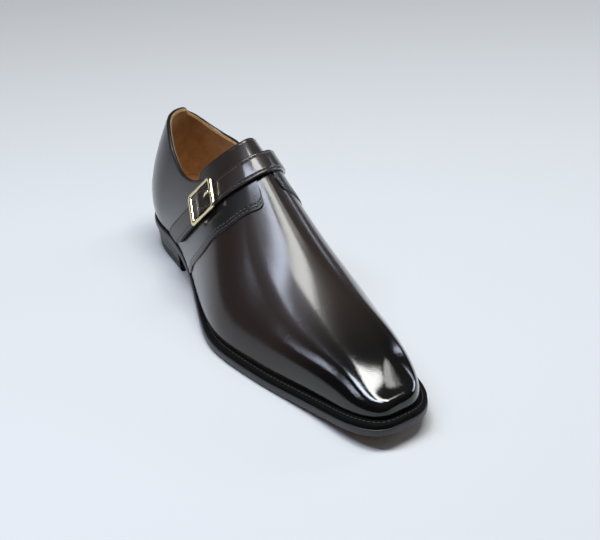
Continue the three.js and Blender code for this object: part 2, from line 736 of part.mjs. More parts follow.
function tongue() {
  const outside = form(-(WALL + GAP), 0);
  const inside = form(-(WALL + GAP + TONGUE_THICK), 4);
  const wide = TONGUE_HALF * BALL;
  const shape = new THREE.Shape([
    [TONGUE_TOP, -wide + TONGUE_CLIP], [TONGUE_TOP + TONGUE_CLIP, -wide], [TONGUE_FOOT, -wide],
    [TONGUE_FOOT, wide], [TONGUE_TOP + TONGUE_CLIP, wide], [TONGUE_TOP, wide - TONGUE_CLIP],
  ].map(([g, w]) => new THREE.Vector2(g, w)));
  const block = new THREE.ExtrudeGeometry(shape, { depth: INSTEP, bevelEnabled: false });
  const g = new THREE.Vector3(...STRAP_NORMAL);
  const w = new THREE.Vector3(1, 0, 0);
  w.addScaledVector(g, -w.dot(g)).normalize();
  const up = new THREE.Vector3().crossVectors(g, w);
  const m = new THREE.Matrix4().makeBasis(g, w, up);
  m.setPosition(STRAP_AT[0] + TONGUE_SHIFT, STRAP_AT[1], STRAP_AT[2]);
  block.translate(0, 0, -INSTEP / 2);
  block.applyMatrix4(m);
  return outside.subtract(inside).intersect(fromGeometry(block));
}
function backTab() {
  const skin = form(QUARTER_STEP + GAP + TAB_THICK, 0).subtract(form(QUARTER_STEP + GAP, 4));
  const box = new THREE.BoxGeometry(TAB_WIDTH, HEEL_LENGTH, TAB_DROP);
  box.translate(plan.centre(0), LENGTH / 2, BACK_HEIGHT - GAP - TAB_DROP / 2);
  return skin.intersect(fromGeometry(box));
}

// Named pieces of the shoe
const COLOURS = {
  leather: 0x2c2420,
  strap: 0x352b26,
  lining: 0x8a5a34,
  sole: 0x2a2624,
  rubber: 0x141414,
  metal: 0xd8c08a,
};
const group = new THREE.Group();

function addPiece(name, body, colour) {
  const mesh = body.getMesh();
  const geometry = new THREE.BufferGeometry();
  geometry.setAttribute('position', new THREE.Float32BufferAttribute(mesh.vertProperties, 3));
  geometry.setIndex(Array.from(mesh.triVerts));
  geometry.computeVertexNormals();
  const piece = new THREE.Mesh(geometry, new THREE.MeshStandardMaterial({ color: colour }));
  piece.name = name;
  group.add(piece);
}

const seat = (s) => ground.height(s) - GAP;
addPiece('top_lift', heelPart(() => 0, () => TOP_LIFT), COLOURS.rubber);
addPiece('heel_stack', heelPart(() => TOP_LIFT + GAP, seat), COLOURS.sole);
addPiece('outsole', outsole(), COLOURS.sole);
addPiece('welt', welt(), COLOURS.sole);
addPiece('insole', insole(), COLOURS.lining);
addPiece('upper', upper(), COLOURS.leather);
addPiece('tongue', tongue(), COLOURS.leather);
addPiece('back_tab', backTab(), COLOURS.leather);
addPiece('strap', strap(), COLOURS.strap);
addPiece('buckle_frame', buckleFrame(), COLOURS.metal);
addPiece('buckle_prong', buckleProng(), COLOURS.metal);

// The shoe stands centred on the frame's origin
const middle = new THREE.Box3().setFromObject(group).getCenter(new THREE.Vector3());
for (const piece of group.children) piece.geometry.translate(-middle.x, -middle.y, 0);

export default group;
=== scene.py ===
"""Looks of the monk strap shoe, built round its CAD frame. Sizes in millimetres until a mesh is made."""
import math

import bpy
import numpy as np
from mathutils import Matrix, Vector


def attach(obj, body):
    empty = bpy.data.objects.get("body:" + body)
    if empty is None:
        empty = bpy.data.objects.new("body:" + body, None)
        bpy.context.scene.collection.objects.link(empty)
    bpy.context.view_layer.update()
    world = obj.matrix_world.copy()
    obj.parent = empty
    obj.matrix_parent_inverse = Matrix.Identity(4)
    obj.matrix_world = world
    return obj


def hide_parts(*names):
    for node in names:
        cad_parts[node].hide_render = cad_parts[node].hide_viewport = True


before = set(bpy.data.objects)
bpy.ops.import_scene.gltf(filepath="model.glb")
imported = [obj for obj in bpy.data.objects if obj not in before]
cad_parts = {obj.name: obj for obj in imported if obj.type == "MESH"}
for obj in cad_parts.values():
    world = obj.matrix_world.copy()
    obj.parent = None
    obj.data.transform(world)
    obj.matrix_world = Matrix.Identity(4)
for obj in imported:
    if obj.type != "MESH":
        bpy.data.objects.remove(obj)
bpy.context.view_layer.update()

# Sizes, as in the CAD source
LENGTH, BALL, INSTEP = 312.0, 104.0, 112.0
HEEL_LENGTH = 67.0
SOLE, GAP, WELT = 5.0, 0.3, 2.8
BASE = SOLE + GAP + WELT + GAP   # the feather line over the ground
WALL, QUARTER = 1.8, 1.0   # vamp with its lining, and the quarters lapped over it
SHIFT_X, SHIFT_Y = 0.325, 0.517   # from the source's origin to the frame's
MM = 0.001


def spline(xs, ys):
    """Natural cubic spline, as in the CAD source."""
    xs, ys = np.asarray(xs, float), np.asarray(ys, float)
    n, h = len(xs), np.diff(xs)
    a, r = np.eye(n), np.zeros(n)
    for i in range(1, n - 1):
        a[i, i - 1 : i + 2] = h[i - 1], 2 * (h[i - 1] + h[i]), h[i]
        r[i] = 6 * ((ys[i + 1] - ys[i]) / h[i] - (ys[i] - ys[i - 1]) / h[i - 1])
    m = np.linalg.solve(a, r)

    def at(x):
        x = np.asarray(x, float)
        i = np.clip(np.searchsorted(xs, x) - 1, 0, n - 2)
        p, q = (xs[i + 1] - x) / h[i], (x - xs[i]) / h[i]
        bend = (p**3 - p) * m[i] + (q**3 - q) * m[i + 1]
        return p * ys[i] + q * ys[i + 1] + bend * h[i] ** 2 / 6

    return at


def table(columns, rows):
    """Splines along the shoe. Each row has its share of the length, then shares of each column's size."""
    rows = np.array(rows)
    return {n: spline(rows[:, 0] * LENGTH, rows[:, k + 1] * size) for k, (n, size) in enumerate(columns)}


# the sole's middle line and half width, its ledge outside the upper, and its underside
plan = table([("centre", BALL), ("half", BALL)], [
    (0.000, 0.014, 0.327), (0.112, 0.023, 0.319), (0.224, 0.012, 0.317), (0.337, -0.025, 0.337),
    (0.449, -0.041, 0.412), (0.545, -0.021, 0.484), (0.625, 0.011, 0.487), (0.705, 0.035, 0.450),
    (0.801, 0.051, 0.374), (0.897, 0.057, 0.306), (1.000, 0.052, 0.246)])
ledge = table([("outer", BALL), ("inner", BALL)], [
    (0.000, 0.014, 0.014), (0.224, 0.010, 0.010), (0.385, 0.012, 0.010), (0.545, 0.038, 0.030),
    (0.705, 0.052, 0.046), (0.865, 0.054, 0.048), (1.000, 0.052, 0.050)])
under = table([("height", INSTEP)], [
    (0.000, 0.146), (0.128, 0.140), (0.240, 0.134), (0.337, 0.089), (0.433, 0.035), (0.529, 0.006),
    (0.609, -0.002), (0.689, -0.002), (0.785, 0.009), (0.897, 0.040), (1.000, 0.086)])
# ribs of the last; the last three rows give a flatter, steeper toe than the CAD source's
last = table(
    [("wallOut", BALL), ("wallIn", BALL), ("wallHigh", INSTEP), ("shoulderOut", BALL),
     ("shoulderIn", BALL), ("shoulderHigh", INSTEP), ("turn", 1), ("flat", BALL),
     ("ridgeX", BALL), ("ridge", INSTEP)], [
        (0.000, 0.070, 0.050, 0.205, 0.300, 0.230, 0.700, 1.0, 0.120, 0.030, 1.080),
        (0.128, 0.062, 0.040, 0.205, 0.290, 0.240, 0.700, 1.0, 0.120, 0.026, 1.085),
        (0.240, 0.040, 0.026, 0.196, 0.272, 0.280, 0.696, 1.0, 0.115, 0.018, 1.075),
        (0.337, 0.022, 0.018, 0.180, 0.272, 0.345, 0.690, 1.0, 0.110, 0.004, 1.008),
        (0.433, 0.022, 0.020, 0.155, 0.320, 0.375, 0.625, 1.0, 0.112, 0.000, 0.884),
        (0.529, 0.024, 0.022, 0.134, 0.360, 0.352, 0.518, 1.0, 0.125, 0.016, 0.719),
        (0.625, 0.019, 0.022, 0.110, 0.382, 0.322, 0.411, 1.0, 0.145, 0.046, 0.571),
        (0.721, 0.014, 0.018, 0.098, 0.374, 0.294, 0.330, 1.2, 0.163, 0.074, 0.462),
        (0.817, 0.018, 0.014, 0.125, 0.250, 0.240, 0.308, 1.6, 0.163, 0.092, 0.389),
        (0.913, 0.007, 0.010, 0.110, 0.185, 0.192, 0.254, 2.833, 0.145, 0.100, 0.333),
        (1.000, 0.018, 0.010, 0.1725, 0.122, 0.178, 0.170, 1.830, 0.125, 0.100, 0.270)])
# back, front, length and power of the heel end, length and power of the toe end
LOOPS = [(1.4, 5.5, 44, 2.2, 34, 3.6), (-3.0, 5.5, 46, 2.2, 34, 3.6), (4.0, 12.4, 44, 2.2, 31.4, 3.2),
         (10.0, 23.4, 40, 2.2, 23, 2.6), (24.0, 40.9, 30, 2.2, 22, 2.2)]
FRONT_CURVE, TOE_SLANT, SLANT_FROM, SLANT_POWER = 2.3, 0.24, 0.641, 1.5


def lengths(points):
    """Run along a row of points up to each of them."""
    return np.concatenate([[0], np.cumsum(np.linalg.norm(np.diff(points, axis=0), axis=-1))])


def rib_v(t, side):
    """v of rib share t, 0 at the feather line and 1 at the ridge, on the outer (-1) or inner (1) side."""
    return t if side < 0 else 2 - t


def closure(x, p, q):
    """Rises from 0 to 1 like a rounded end, for x from 0 to 1."""
    return (1 - (1 - np.clip(x, 0, 1)) ** p) ** (1 / q)


def place(s, dx, centre, z):
    """Point at s from the heel's back and dx from the middle line, with the toe's slant."""
    reach = np.maximum((s / LENGTH - SLANT_FROM) / (1 - SLANT_FROM), 0)
    slant = TOE_SLANT * reach**SLANT_POWER
    return np.stack([centre + dx, LENGTH / 2 - s + slant * dx, z + 0 * s], -1)


def ground(s):
    return np.maximum(under["height"](s), 0)


def feather_z(s):
    return ground(s) + BASE


def control(u, k, side):
    """Control point k of the rib at share u: feather, wall, shoulder, flat beside the ridge, ridge."""
    back, front, back_round, back_power, front_round, front_power = LOOPS[k]
    s = back + (LENGTH - front - back) * u
    e = side * closure((s - back) / back_round, back_power, back_power)
    e = e * closure((LENGTH - front - s) / front_round, FRONT_CURVE, front_power)
    centre = plan["centre"](s)
    foot = plan["half"](s) - ledge["outer" if side < 0 else "inner"](s)
    if k == 0:
        return place(s, e * foot, centre, feather_z(s))
    if k == 1:
        swell = last["wallOut" if side < 0 else "wallIn"](s)
        return place(s, e * (foot + swell), centre, feather_z(s) + last["wallHigh"](s))
    ridge = last["ridgeX"](s)
    if k == 2:
        half = last["shoulderOut" if side < 0 else "shoulderIn"](s)
        return place(s, e * half, 0.5 * (ridge + centre), last["shoulderHigh"](s))
    if k == 3:
        return place(s, e * last["flat"](s), ridge, last["ridge"](s))
    return place(s, 0 * s, ridge, last["ridge"](s))


def stations():
    """Share u at even steps along the feather line."""
    fine, end, heel_power, toe_power = 400, 0.12, 2.2, 6
    i = np.arange(fine) / fine
    toe = np.arange(fine, -1, -1) / fine
    us = np.concatenate([end * i**heel_power, end + (1 - 2 * end) * i, 1 - end * toe**toe_power])
    p = control(us, 0, -1)
    run = lengths(p)
    return run / run[-1], us


RUN, SHARE = stations()


def surface(w, v):
    """Point of the last: w 0 heel to 1 toe in even steps, v 0 outer feather, 1 ridge, 2 inner feather."""
    w, v = np.broadcast_arrays(np.asarray(w, float), np.asarray(v, float))
    u = np.interp(w, RUN, SHARE)
    out = np.zeros(u.shape + (3,))
    for side in (-1, 1):
        pick = (v <= 1) if side < 0 else (v > 1)
        if not pick.any():
            continue
        uu = u[pick]
        t = rib_v(v[pick], side)
        r = 1 - t
        turn = last["turn"](LENGTH * uu)
        share = np.stack([r**4, 4 * t * r**3, 6 * t * t * r * r * turn, 4 * t**3 * r, t**4])
        points = np.stack([control(uu, k, side) for k in range(5)])
        out[pick] = (share[..., None] * points).sum(0) / share.sum(0)[:, None]
    return out


def unit(a):
    return a / np.maximum(np.linalg.norm(a, axis=-1, keepdims=True), 1e-12)


GRID_W, GRID_V = np.linspace(0, 1, 641), np.linspace(0, 2, 321)


def grid_normals():
    p = surface(GRID_W[:, None], GRID_V[None, :])
    n = np.zeros_like(p)
    a, b, c, d = p[:-1, :-1], p[1:, :-1], p[1:, 1:], p[:-1, 1:]
    face = np.cross(c - a, d - b)
    n[:-1, :-1] += face
    n[1:, :-1] += face
    n[1:, 1:] += face
    n[:-1, 1:] += face
    for i in (0, -1):
        n[i] = n[i] + n[i, ::-1]
    return p, unit(n)


GRID_P, GRID_N = grid_normals()


def normal(w, v):
    w, v = np.broadcast_arrays(np.asarray(w, float), np.asarray(v, float))
    i = np.clip(w * (len(GRID_W) - 1), 0, len(GRID_W) - 1.001)
    j = np.clip(v / 2 * (len(GRID_V) - 1), 0, len(GRID_V) - 1.001)
    a, b = i.astype(int), j.astype(int)
    f, g = (i - a)[..., None], (j - b)[..., None]
    n = (1 - f) * ((1 - g) * GRID_N[a, b] + g * GRID_N[a, b + 1])
    return unit(n + f * ((1 - g) * GRID_N[a + 1, b] + g * GRID_N[a + 1, b + 1]))


def on_last(w, v, off):
    return surface(w, v) + normal(w, v) * np.asarray(off)[..., None]


def nearest(points):
    """(w, v) of the last's point closest to each point (s, x, z) measured from the heel's back."""
    out = []
    for s, x, z in points:
        q = np.array([x, LENGTH / 2 - s, z])
        i, j = np.unravel_index(((GRID_P - q) ** 2).sum(-1).argmin(), GRID_P.shape[:2])
        w, v, e = GRID_W[i], GRID_V[j], 1e-4
        for _ in range(6):
            p = surface(w, v)
            jac = np.stack([(surface(w + e, v) - p) / e, (surface(w, v + e) - p) / e], -1)
            dw, dv = np.linalg.lstsq(jac, q - p, rcond=None)[0]
            w = float(np.clip(w + np.clip(dw, -0.02, 0.02), 0, 1))
            v = float(np.clip(v + np.clip(dv, -0.05, 0.05), 0, 2))
        out.append((w, v))
    return np.array(out)


def smooth(points, count):
    """Points at even steps on a smooth curve through a few."""
    points = np.asarray(points, float)
    k = np.concatenate([[0], np.cumsum(np.sqrt(np.linalg.norm(np.diff(points, axis=0), axis=1)))])
    fine = np.linspace(0, k[-1], 40 * len(points))
    dense = np.stack([spline(k, points[:, c])(fine) for c in range(points.shape[1])], -1)
    return even(dense, count)


def even(dense, count, metric=None):
    """The dense points resampled at even steps, as measured on metric if that is given."""
    m = dense if metric is None else metric
    run = lengths(m)
    want = np.linspace(0, run[-1], count)
    return np.stack([np.interp(want, run, dense[:, c]) for c in range(dense.shape[1])], -1)


# The collar's line
# its height along the shoe, on the outer and the inner side, as shares of length and instep
TOP_OUT = [(-0.03, 0.815), (0.02, 0.813), (0.07, 0.800), (0.11, 0.770), (0.15, 0.712), (0.19, 0.662),
           (0.225, 0.640), (0.26, 0.650), (0.29, 0.680), (0.32, 0.722), (0.362, 0.770), (0.40, 0.880),
           (0.425, 0.960), (0.44, 1.06)]
TOP_IN = [(-0.03, 0.815), (0.000, 0.813), (0.0080, 0.811), (0.0145, 0.797), (0.0192, 0.780), (0.025, 0.750),
          (0.032, 0.722), (0.042, 0.695), (0.0513, 0.680), (0.0705, 0.660), (0.09, 0.652), (0.11, 0.651),
          (0.14, 0.646), (0.185, 0.634), (0.23, 0.638), (0.275, 0.676), (0.32, 0.742), (0.362, 0.820),
          (0.40, 0.900), (0.425, 0.960), (0.44, 1.06)]
THROAT = 0.44   # share of the length where the line ends
W_TOP = 0.6   # station past the throat, where its table ends
HEEL_PART = 0.2   # stations up to this are the heel's curve
SEAM_BLEND = 0.006   # stations in which the inner line joins the outer one at the back seam


def collar_v(w, side):
    """Rib share t (0 feather, 1 ridge) where the collar's line crosses each station."""
    line = smooth(np.array(TOP_OUT if side < 0 else TOP_IN) * (LENGTH, INSTEP), 300)
    t = np.linspace(0.2, 1, 500)
    w = np.atleast_1d(w)
    p = surface(w[:, None], rib_v(t, side)[None, :])
    over = p[..., 2] - np.interp(LENGTH / 2 - p[..., 1], line[:, 0], line[:, 1])
    over[LENGTH / 2 - p[..., 1] > THROAT * LENGTH] = -1
    out = np.ones(len(w))
    for i in range(len(w)):
        k = np.argmax(over[i] > 0)
        if over[i, k] > 0 and k > 0:
            a, b = over[i, k - 1], over[i, k]
            out[i] = t[k - 1] + (t[k] - t[k - 1]) * (-a / (b - a))
    return out


W_FINE = np.linspace(0, W_TOP, 601)
COLLAR = {side: collar_v(W_FINE, side) for side in (-1, 1)}
COLLAR[1] += (COLLAR[-1][0] - COLLAR[1][0]) * np.exp(-W_FINE / SEAM_BLEND)


def top_t(w, side):
    """Rib share of the collar's line at station w."""
    return np.interp(w, W_FINE, COLLAR[side])


def relax(a, passes):
    """Evens out a row of points or numbers in place; its ends stay."""
    for _ in range(passes):
        a[1:-1] = (a[:-2] + 2 * a[1:-1] + a[2:]) / 4


def strip_t(w, side, x):
    """Rib share where the last crosses the plane x, for the gap between the two flaps."""
    t = np.linspace(0.5, 1, 400)
    p = surface(np.atleast_1d(w)[:, None], rib_v(t, side)[None, :])
    k = np.argmin(np.abs(p[..., 0] - x), axis=1)
    return t[k]


# Meshes
def mesh(name, verts, faces, mat):
    """Smooth mesh object in metres, riding on the shoe's one body."""
    verts = (np.asarray(verts) + (SHIFT_X, SHIFT_Y, 0)) * MM
    data = bpy.data.meshes.new(name)
    data.from_pydata(verts.tolist(), [], [tuple(map(int, f)) for f in faces])
    data.validate()
    data.polygons.foreach_set("use_smooth", [True] * len(data.polygons))
    obj = bpy.data.objects.new(name, data)
    bpy.context.scene.collection.objects.link(obj)
    for m in mat if isinstance(mat, (list, tuple)) else [mat]:
        data.materials.append(m)
    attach(obj, "root")
    return obj


def quads(rows, cols, base=0, flip=False, closed=False):
    """Faces of a grid of points numbered row by row."""
    i, j = np.meshgrid(np.arange(rows - 1), np.arange(cols if closed else cols - 1), indexing="ij")
    a, b = base + i * cols + j, base + i * cols + (j + 1) % cols
    f = np.stack([a, a + cols, b + cols, b], -1).reshape(-1, 4)
    return f[:, ::-1] if flip else f


def weld(verts, faces, digits=3):
    """Joins equal points and drops faces that close up."""
    _, first, index = np.unique(np.round(verts, digits), axis=0, return_index=True, return_inverse=True)
    index = index.ravel()
    out = []
    for f in index[faces]:
        keep = [x for k, x in enumerate(f) if x != f[k - 1]]
        if len(set(keep)) >= 3:
            out.append(tuple(keep))
    return verts[first], out


def knots(*marks):
    """Shares 0 to 1 in pieces: (end, steps) after one another."""
    out, start = [0.0], 0.0
    for end, steps in marks:
        out += list(start + (end - start) * np.arange(1, steps + 1) / steps)
        start = end
    return np.array(out)


def coons(bottom, top, back, front):
    """Grid of (w, v) between four edges: bottom and top run back to front, back and front run upwards."""
    r = np.linspace(0, 1, len(bottom))[None, :, None]
    t = np.linspace(0, 1, len(back))[:, None, None]
    b, u, l, f = bottom[None], top[None], back[:, None], front[:, None]
    corners = (1 - t) * (1 - r) * bottom[0] + (1 - t) * r * bottom[-1]
    corners = corners + t * (1 - r) * top[0] + t * r * top[-1]
    return (1 - t) * b + t * u + (1 - r) * l + r * f - corners


def resample(grid, rows, cols):
    """The grid at chosen shares of its rows and columns."""
    n, m = grid.shape[:2]
    down, over = rows * (n - 1), cols * (m - 1)
    a = np.stack([np.interp(down, np.arange(n), grid[:, j, c]) for j in range(m) for c in (0, 1)], -1)
    a = a.reshape(len(rows), m, 2)
    b = np.stack([np.interp(over, np.arange(m), a[i, :, c]) for i in range(len(rows)) for c in (0, 1)], 0)
    return b.reshape(len(rows), 2, len(cols)).transpose(0, 2, 1)


def edge_distance(p, edges):
    """Distance in mm from the named edges of a grid of points, along its rows and columns."""
    out = np.full(p.shape[:2], 1e3)
    down = np.linalg.norm(np.diff(p, axis=0), axis=-1)
    over = np.linalg.norm(np.diff(p, axis=1), axis=-1)
    zero_r, zero_c = np.zeros((1, p.shape[1])), np.zeros((p.shape[0], 1))
    if "low" in edges:
        out = np.minimum(out, np.concatenate([zero_r, np.cumsum(down, 0)]))
    if "high" in edges:
        out = np.minimum(out, np.concatenate([np.cumsum(down[::-1], 0)[::-1], zero_r]))
    if "start" in edges:
        out = np.minimum(out, np.concatenate([zero_c, np.cumsum(over, 1)], 1))
    if "end" in edges:
        out = np.minimum(out, np.concatenate([np.cumsum(over[:, ::-1], 1)[:, ::-1], zero_c], 1))
    return out


def rounding(d, r):
    """How far an edge rounded by r lies below its face, d from the edge."""
    return r - np.sqrt(np.maximum(r**2 - (r - np.minimum(d, r)) ** 2, 0))


def groove(d, at, depth, half):
    """Depth of a stitched line's groove, d from the edge."""
    return depth * np.exp(-(((d - at) / half) ** 2))


def border(rows, cols):
    """Numbers of a grid's outer points, in order round it."""
    ring = [(0, j) for j in range(cols)] + [(i, cols - 1) for i in range(1, rows)]
    ring += [(rows - 1, j) for j in range(cols - 2, -1, -1)] + [(i, 0) for i in range(rows - 2, 0, -1)]
    return np.array([i * cols + j for i, j in ring])


def panel(name, wv, low, high, edges, mat, round_mm=0.5, flip=False, grooves=()):
    """Sheet of leather on the last between two heights, rounded at the named edges.
    grooves: (distance from those edges, depth, half width) of each stitched line."""
    w, v = wv[..., 0], wv[..., 1]
    d = edge_distance(surface(w, v), edges)
    off = high - rounding(d, round_mm)
    for at, depth, half in grooves:
        off = off - groove(d, at, depth, half)
    top = on_last(w, v, off)
    rows, cols = w.shape
    idx = border(rows, cols)
    rw, rv = w.ravel()[idx], v.ravel()[idx]
    verts = np.concatenate([top.reshape(-1, 3), on_last(rw, rv, np.full(len(rw), low))])
    n = rows * cols
    k = np.arange(len(idx))
    skirt = np.stack([idx, n + k, n + (k + 1) % len(idx), idx[(k + 1) % len(idx)]], -1)
    faces = quads(rows, cols, flip=not flip)
    return mesh(name, verts, np.concatenate([faces, skirt if not flip else skirt[:, ::-1]]), mat)


def tube(name, path, radius, mat, sides):
    """Round bar along a path of points, closed at both ends."""
    path = np.asarray(path, float)
    t = unit(np.gradient(path, axis=0))
    ref = np.zeros_like(t) + (0, 0, 1.0)
    ref[np.abs(t[:, 2]) > 0.9] = (1.0, 0, 0)
    a = unit(np.cross(t, ref))
    b = np.cross(t, a)
    ang = (np.arange(sides) * 2 * math.pi / sides)[None, :, None]
    r = np.broadcast_to(np.asarray(radius, float), (len(path),))[:, None, None]
    ring = path[:, None] + r * (np.cos(ang) * a[:, None] + np.sin(ang) * b[:, None])
    faces = quads(len(path), sides, closed=True).tolist()
    end = (len(path) - 1) * sides
    faces += [list(range(sides)), list(range(end, end + sides))[::-1]]
    return mesh(name, ring.reshape(-1, 3), faces, mat)


STITCH_RING = 6
# a thread's outline: share of its length and of its radius
STITCH_SHAPE = [(-0.5, 0.0), (-0.42, 0.7), (-0.15, 1.0), (0.15, 1.0), (0.42, 0.7), (0.5, 0.0)]
STITCH_FLAT, STITCH_TIP = 0.9, 0.05


def stitches(name, lines, mat, pitch=2.9, length=2.0, radius=0.36, sink=0.0):
    """One mesh of small rounded threads along lines; each line is (points, normals)."""
    ang = np.arange(STITCH_RING) * 2 * math.pi / STITCH_RING
    verts, faces, n = [], [], 0
    for points, normals in lines:
        run = lengths(points)
        count = max(int(run[-1] / pitch), 1)
        at = (np.arange(count) + 0.5) * run[-1] / count

        def along(x, data):
            return np.stack([np.interp(x, run, data[:, c]) for c in range(3)], -1)

        p, m = along(at, points), unit(along(at, normals))
        t = unit(along(at + 0.2, points) - along(at - 0.2, points))
        b = np.cross(m, t)
        for k in range(count):
            for x, r in STITCH_SHAPE:
                c = p[k] + t[k] * x * length - m[k] * sink
                rr = max(r, STITCH_TIP) * radius
                ring = np.cos(ang)[:, None] * m[k] * STITCH_FLAT + np.sin(ang)[:, None] * b[k]
                verts.append(c + rr * ring)
            faces += quads(len(STITCH_SHAPE), STITCH_RING, base=n, closed=True).tolist()
            n += len(STITCH_SHAPE) * STITCH_RING
    return mesh(name, np.concatenate(verts), faces, mat)


def line_on(wv, off):
    """Points and normals of a line of (w, v) at a height over the last."""
    return on_last(wv[:, 0], wv[:, 1], np.full(len(wv), off)), normal(wv[:, 0], wv[:, 1])


# Materials
def material(name, base, rough, **sockets):
    """Principled material and its shader node; sockets are named with _ for each space."""
    m = bpy.data.materials.new(name)
    m.use_nodes = True
    b = m.node_tree.nodes["Principled BSDF"]
    b.inputs["Base Color"].default_value = (*base, 1)
    b.inputs["Roughness"].default_value = rough
    for k, x in sockets.items():
        b.inputs[k.replace("_", " ")].default_value = x
    return m, b


def bump(m, b, scale, strength, distance, detail, to="Normal"):
    """Fine grain on the normal or the coat's normal; gives its noise node."""
    nodes, links = m.node_tree.nodes, m.node_tree.links
    coord = nodes.new("ShaderNodeTexCoord")
    noise = nodes.new("ShaderNodeTexNoise")
    noise.inputs["Scale"].default_value = scale
    noise.inputs["Detail"].default_value = detail
    bmp = nodes.new("ShaderNodeBump")
    bmp.inputs["Strength"].default_value = strength
    bmp.inputs["Distance"].default_value = distance
    links.new(coord.outputs["Object"], noise.inputs["Vector"])
    links.new(noise.outputs["Fac"], bmp.inputs["Height"])
    links.new(bmp.outputs["Normal"], b.inputs[to])
    return noise


# sockets of a colour mix node
MIX_FACTOR, MIX_A, MIX_B, MIX_RESULT = 0, 6, 7, 2


def mix_colours(m, factor, near, far, target):
    nodes, links = m.node_tree.nodes, m.node_tree.links
    mix = nodes.new("ShaderNodeMix")
    mix.data_type = "RGBA"
    links.new(factor, mix.inputs[MIX_FACTOR])
    mix.inputs[MIX_A].default_value = (*near, 1)
    mix.inputs[MIX_B].default_value = (*far, 1)
    links.new(mix.outputs[MIX_RESULT], target)


def burnish_and_painted_shade(m, b, socket, near, far, from_m, to_m, axis="Y"):
    """A value or colour that changes along an axis, from near at from_m to far at to_m, in metres. On the
    leather it is a burnish; on the floor's colour it is painted shade.
    """
    nodes, links = m.node_tree.nodes, m.node_tree.links
    coord = nodes.new("ShaderNodeTexCoord")
    split = nodes.new("ShaderNodeSeparateXYZ")
    ramp = nodes.new("ShaderNodeMapRange")
    ramp.interpolation_type = "SMOOTHSTEP"
    ramp.inputs["From Min"].default_value = from_m
    ramp.inputs["From Max"].default_value = to_m
    links.new(coord.outputs["Object"], split.inputs[0])
    links.new(split.outputs[axis], ramp.inputs["Value"])
    if isinstance(near, tuple):
        mix_colours(m, ramp.outputs["Result"], near, far, b.inputs[socket])
    else:
        ramp.inputs["To Min"].default_value = near
        ramp.inputs["To Max"].default_value = far
        links.new(ramp.outputs["Result"], b.inputs[socket])


GRAIN = (0.0003, 2, "Coat Normal")   # distance in metres, detail and socket of the leather's grain
# vamp: brown in the middle, black and glossier over the toe
vamp_mat, vb = material("vamp_leather", (0.018, 0.012, 0.010), 0.3, Coat_Weight=1.0, Coat_Roughness=0.08,
                        Coat_IOR=1.36, Specular_IOR_Level=0.2)
bump(vamp_mat, vb, 1100, 0.14, *GRAIN)
burnish_and_painted_shade(vamp_mat, vb, "Base Color", (0.0025, 0.0025, 0.0025), (0.019, 0.0125, 0.0105), -0.120, -0.055)
burnish_and_painted_shade(vamp_mat, vb, "Roughness", 0.12, 0.32, -0.115, -0.05)
burnish_and_painted_shade(vamp_mat, vb, "Coat Roughness", 0.045, 0.085, -0.105, -0.05)
burnish_and_painted_shade(vamp_mat, vb, "Coat IOR", 1.45, 1.31, -0.105, -0.05)
quarter_mat, qb = material("quarter_leather", (0.011, 0.0105, 0.011), 0.36, Coat_Weight=0.9,
                           Coat_Roughness=0.15, Coat_IOR=1.30, Specular_IOR_Level=0.2)
bump(quarter_mat, qb, 1000, 0.06, *GRAIN)
# strap: duller on the outer side than over the instep
strap_mat, sb = material("strap_leather", (0.022, 0.016, 0.014), 0.36, Coat_Weight=0.8, Coat_Roughness=0.12,
                         Coat_IOR=1.36, Specular_IOR_Level=0.25)
bump(strap_mat, sb, 1000, 0.06, *GRAIN)
burnish_and_painted_shade(strap_mat, sb, "Coat Weight", 0.15, 0.95, -0.034, -0.008, "X")
thread_mat, _ = material("thread", (0.055, 0.05, 0.048), 0.35, Coat_Weight=0.8, Coat_Roughness=0.15)
lining_mat, _ = material("lining_leather", (0.62, 0.36, 0.21), 0.6)
# suede: mottled by the same noise that gives its nap
suede_mat, db = material("heel_suede", (0.45, 0.25, 0.08), 0.75, Sheen_Weight=0.15)
nap = bump(suede_mat, db, 170, 0.25, 0.0006, 6)
mix_colours(suede_mat, nap.outputs["Fac"], (0.24, 0.13, 0.038), (0.56, 0.33, 0.115), db.inputs["Base Color"])
binding_mat, _ = material("lining_cut_edge", (0.50, 0.29, 0.13), 0.6)
insole_mat, _ = material("insole_leather", (0.52, 0.30, 0.18), 0.6)
welt_mat, _ = material("welt_leather", (0.002, 0.002, 0.002), 0.9, Specular_IOR_Level=0.12)
sole_mat, _ = material("sole_edge", (0.030, 0.028, 0.030), 0.42)
under_mat, _ = material("sole_leather", (0.30, 0.19, 0.10), 0.6)
rubber_mat, _ = material("lift_rubber", (0.012, 0.012, 0.012), 0.6)
gold_mat, _ = material("pale_gold", (0.86, 0.74, 0.46), 0.20, Metallic=1.0)
mark_mat, _ = material("welt_thread", (0.020, 0.018, 0.018), 0.5)

# Flaps and quarters
# front edge of each quarter, foot to top: from the heel's back, sideways, height
FLAP_OUT = [(109.0, -39.6, 22.8), (114.6, -38.9, 30.4), (128.0, -38.4, 45.0), (136.5, -34.0, 59.0),
            (144.6, -28.0, 68.0), (149.8, -20.0, 76.6), (153.2, -14.3, 80.6), (154.8, -10.3, 82.6),
            (154.0, -8.2, 84.6), (151.9, -7.4, 86.4), (146.5, -6.6, 90.4)]
FLAP_IN = [(109.0, 30.0, 22.0), (114.0, 31.0, 31.0), (125.0, 31.0, 50.0), (134.0, 27.0, 64.0),
           (141.5, 21.5, 77.0), (145.2, 15.0, 84.6), (147.2, 10.6, 88.4), (146.6, 8.6, 89.6),
           (144.4, 7.1, 91.4), (141.0, 6.0, 94.2)]
STRIP = {-1: -6.2, 1: 5.7}   # planes beside the ridge where the two flaps end
FLAT_SCALE = np.array([300, 90])   # about mm per unit of w and of v
ROWS_FINE, COLS_FINE = 121, 161
FOOT_STEP, CORNER_BLEND = 0.9, 0.02


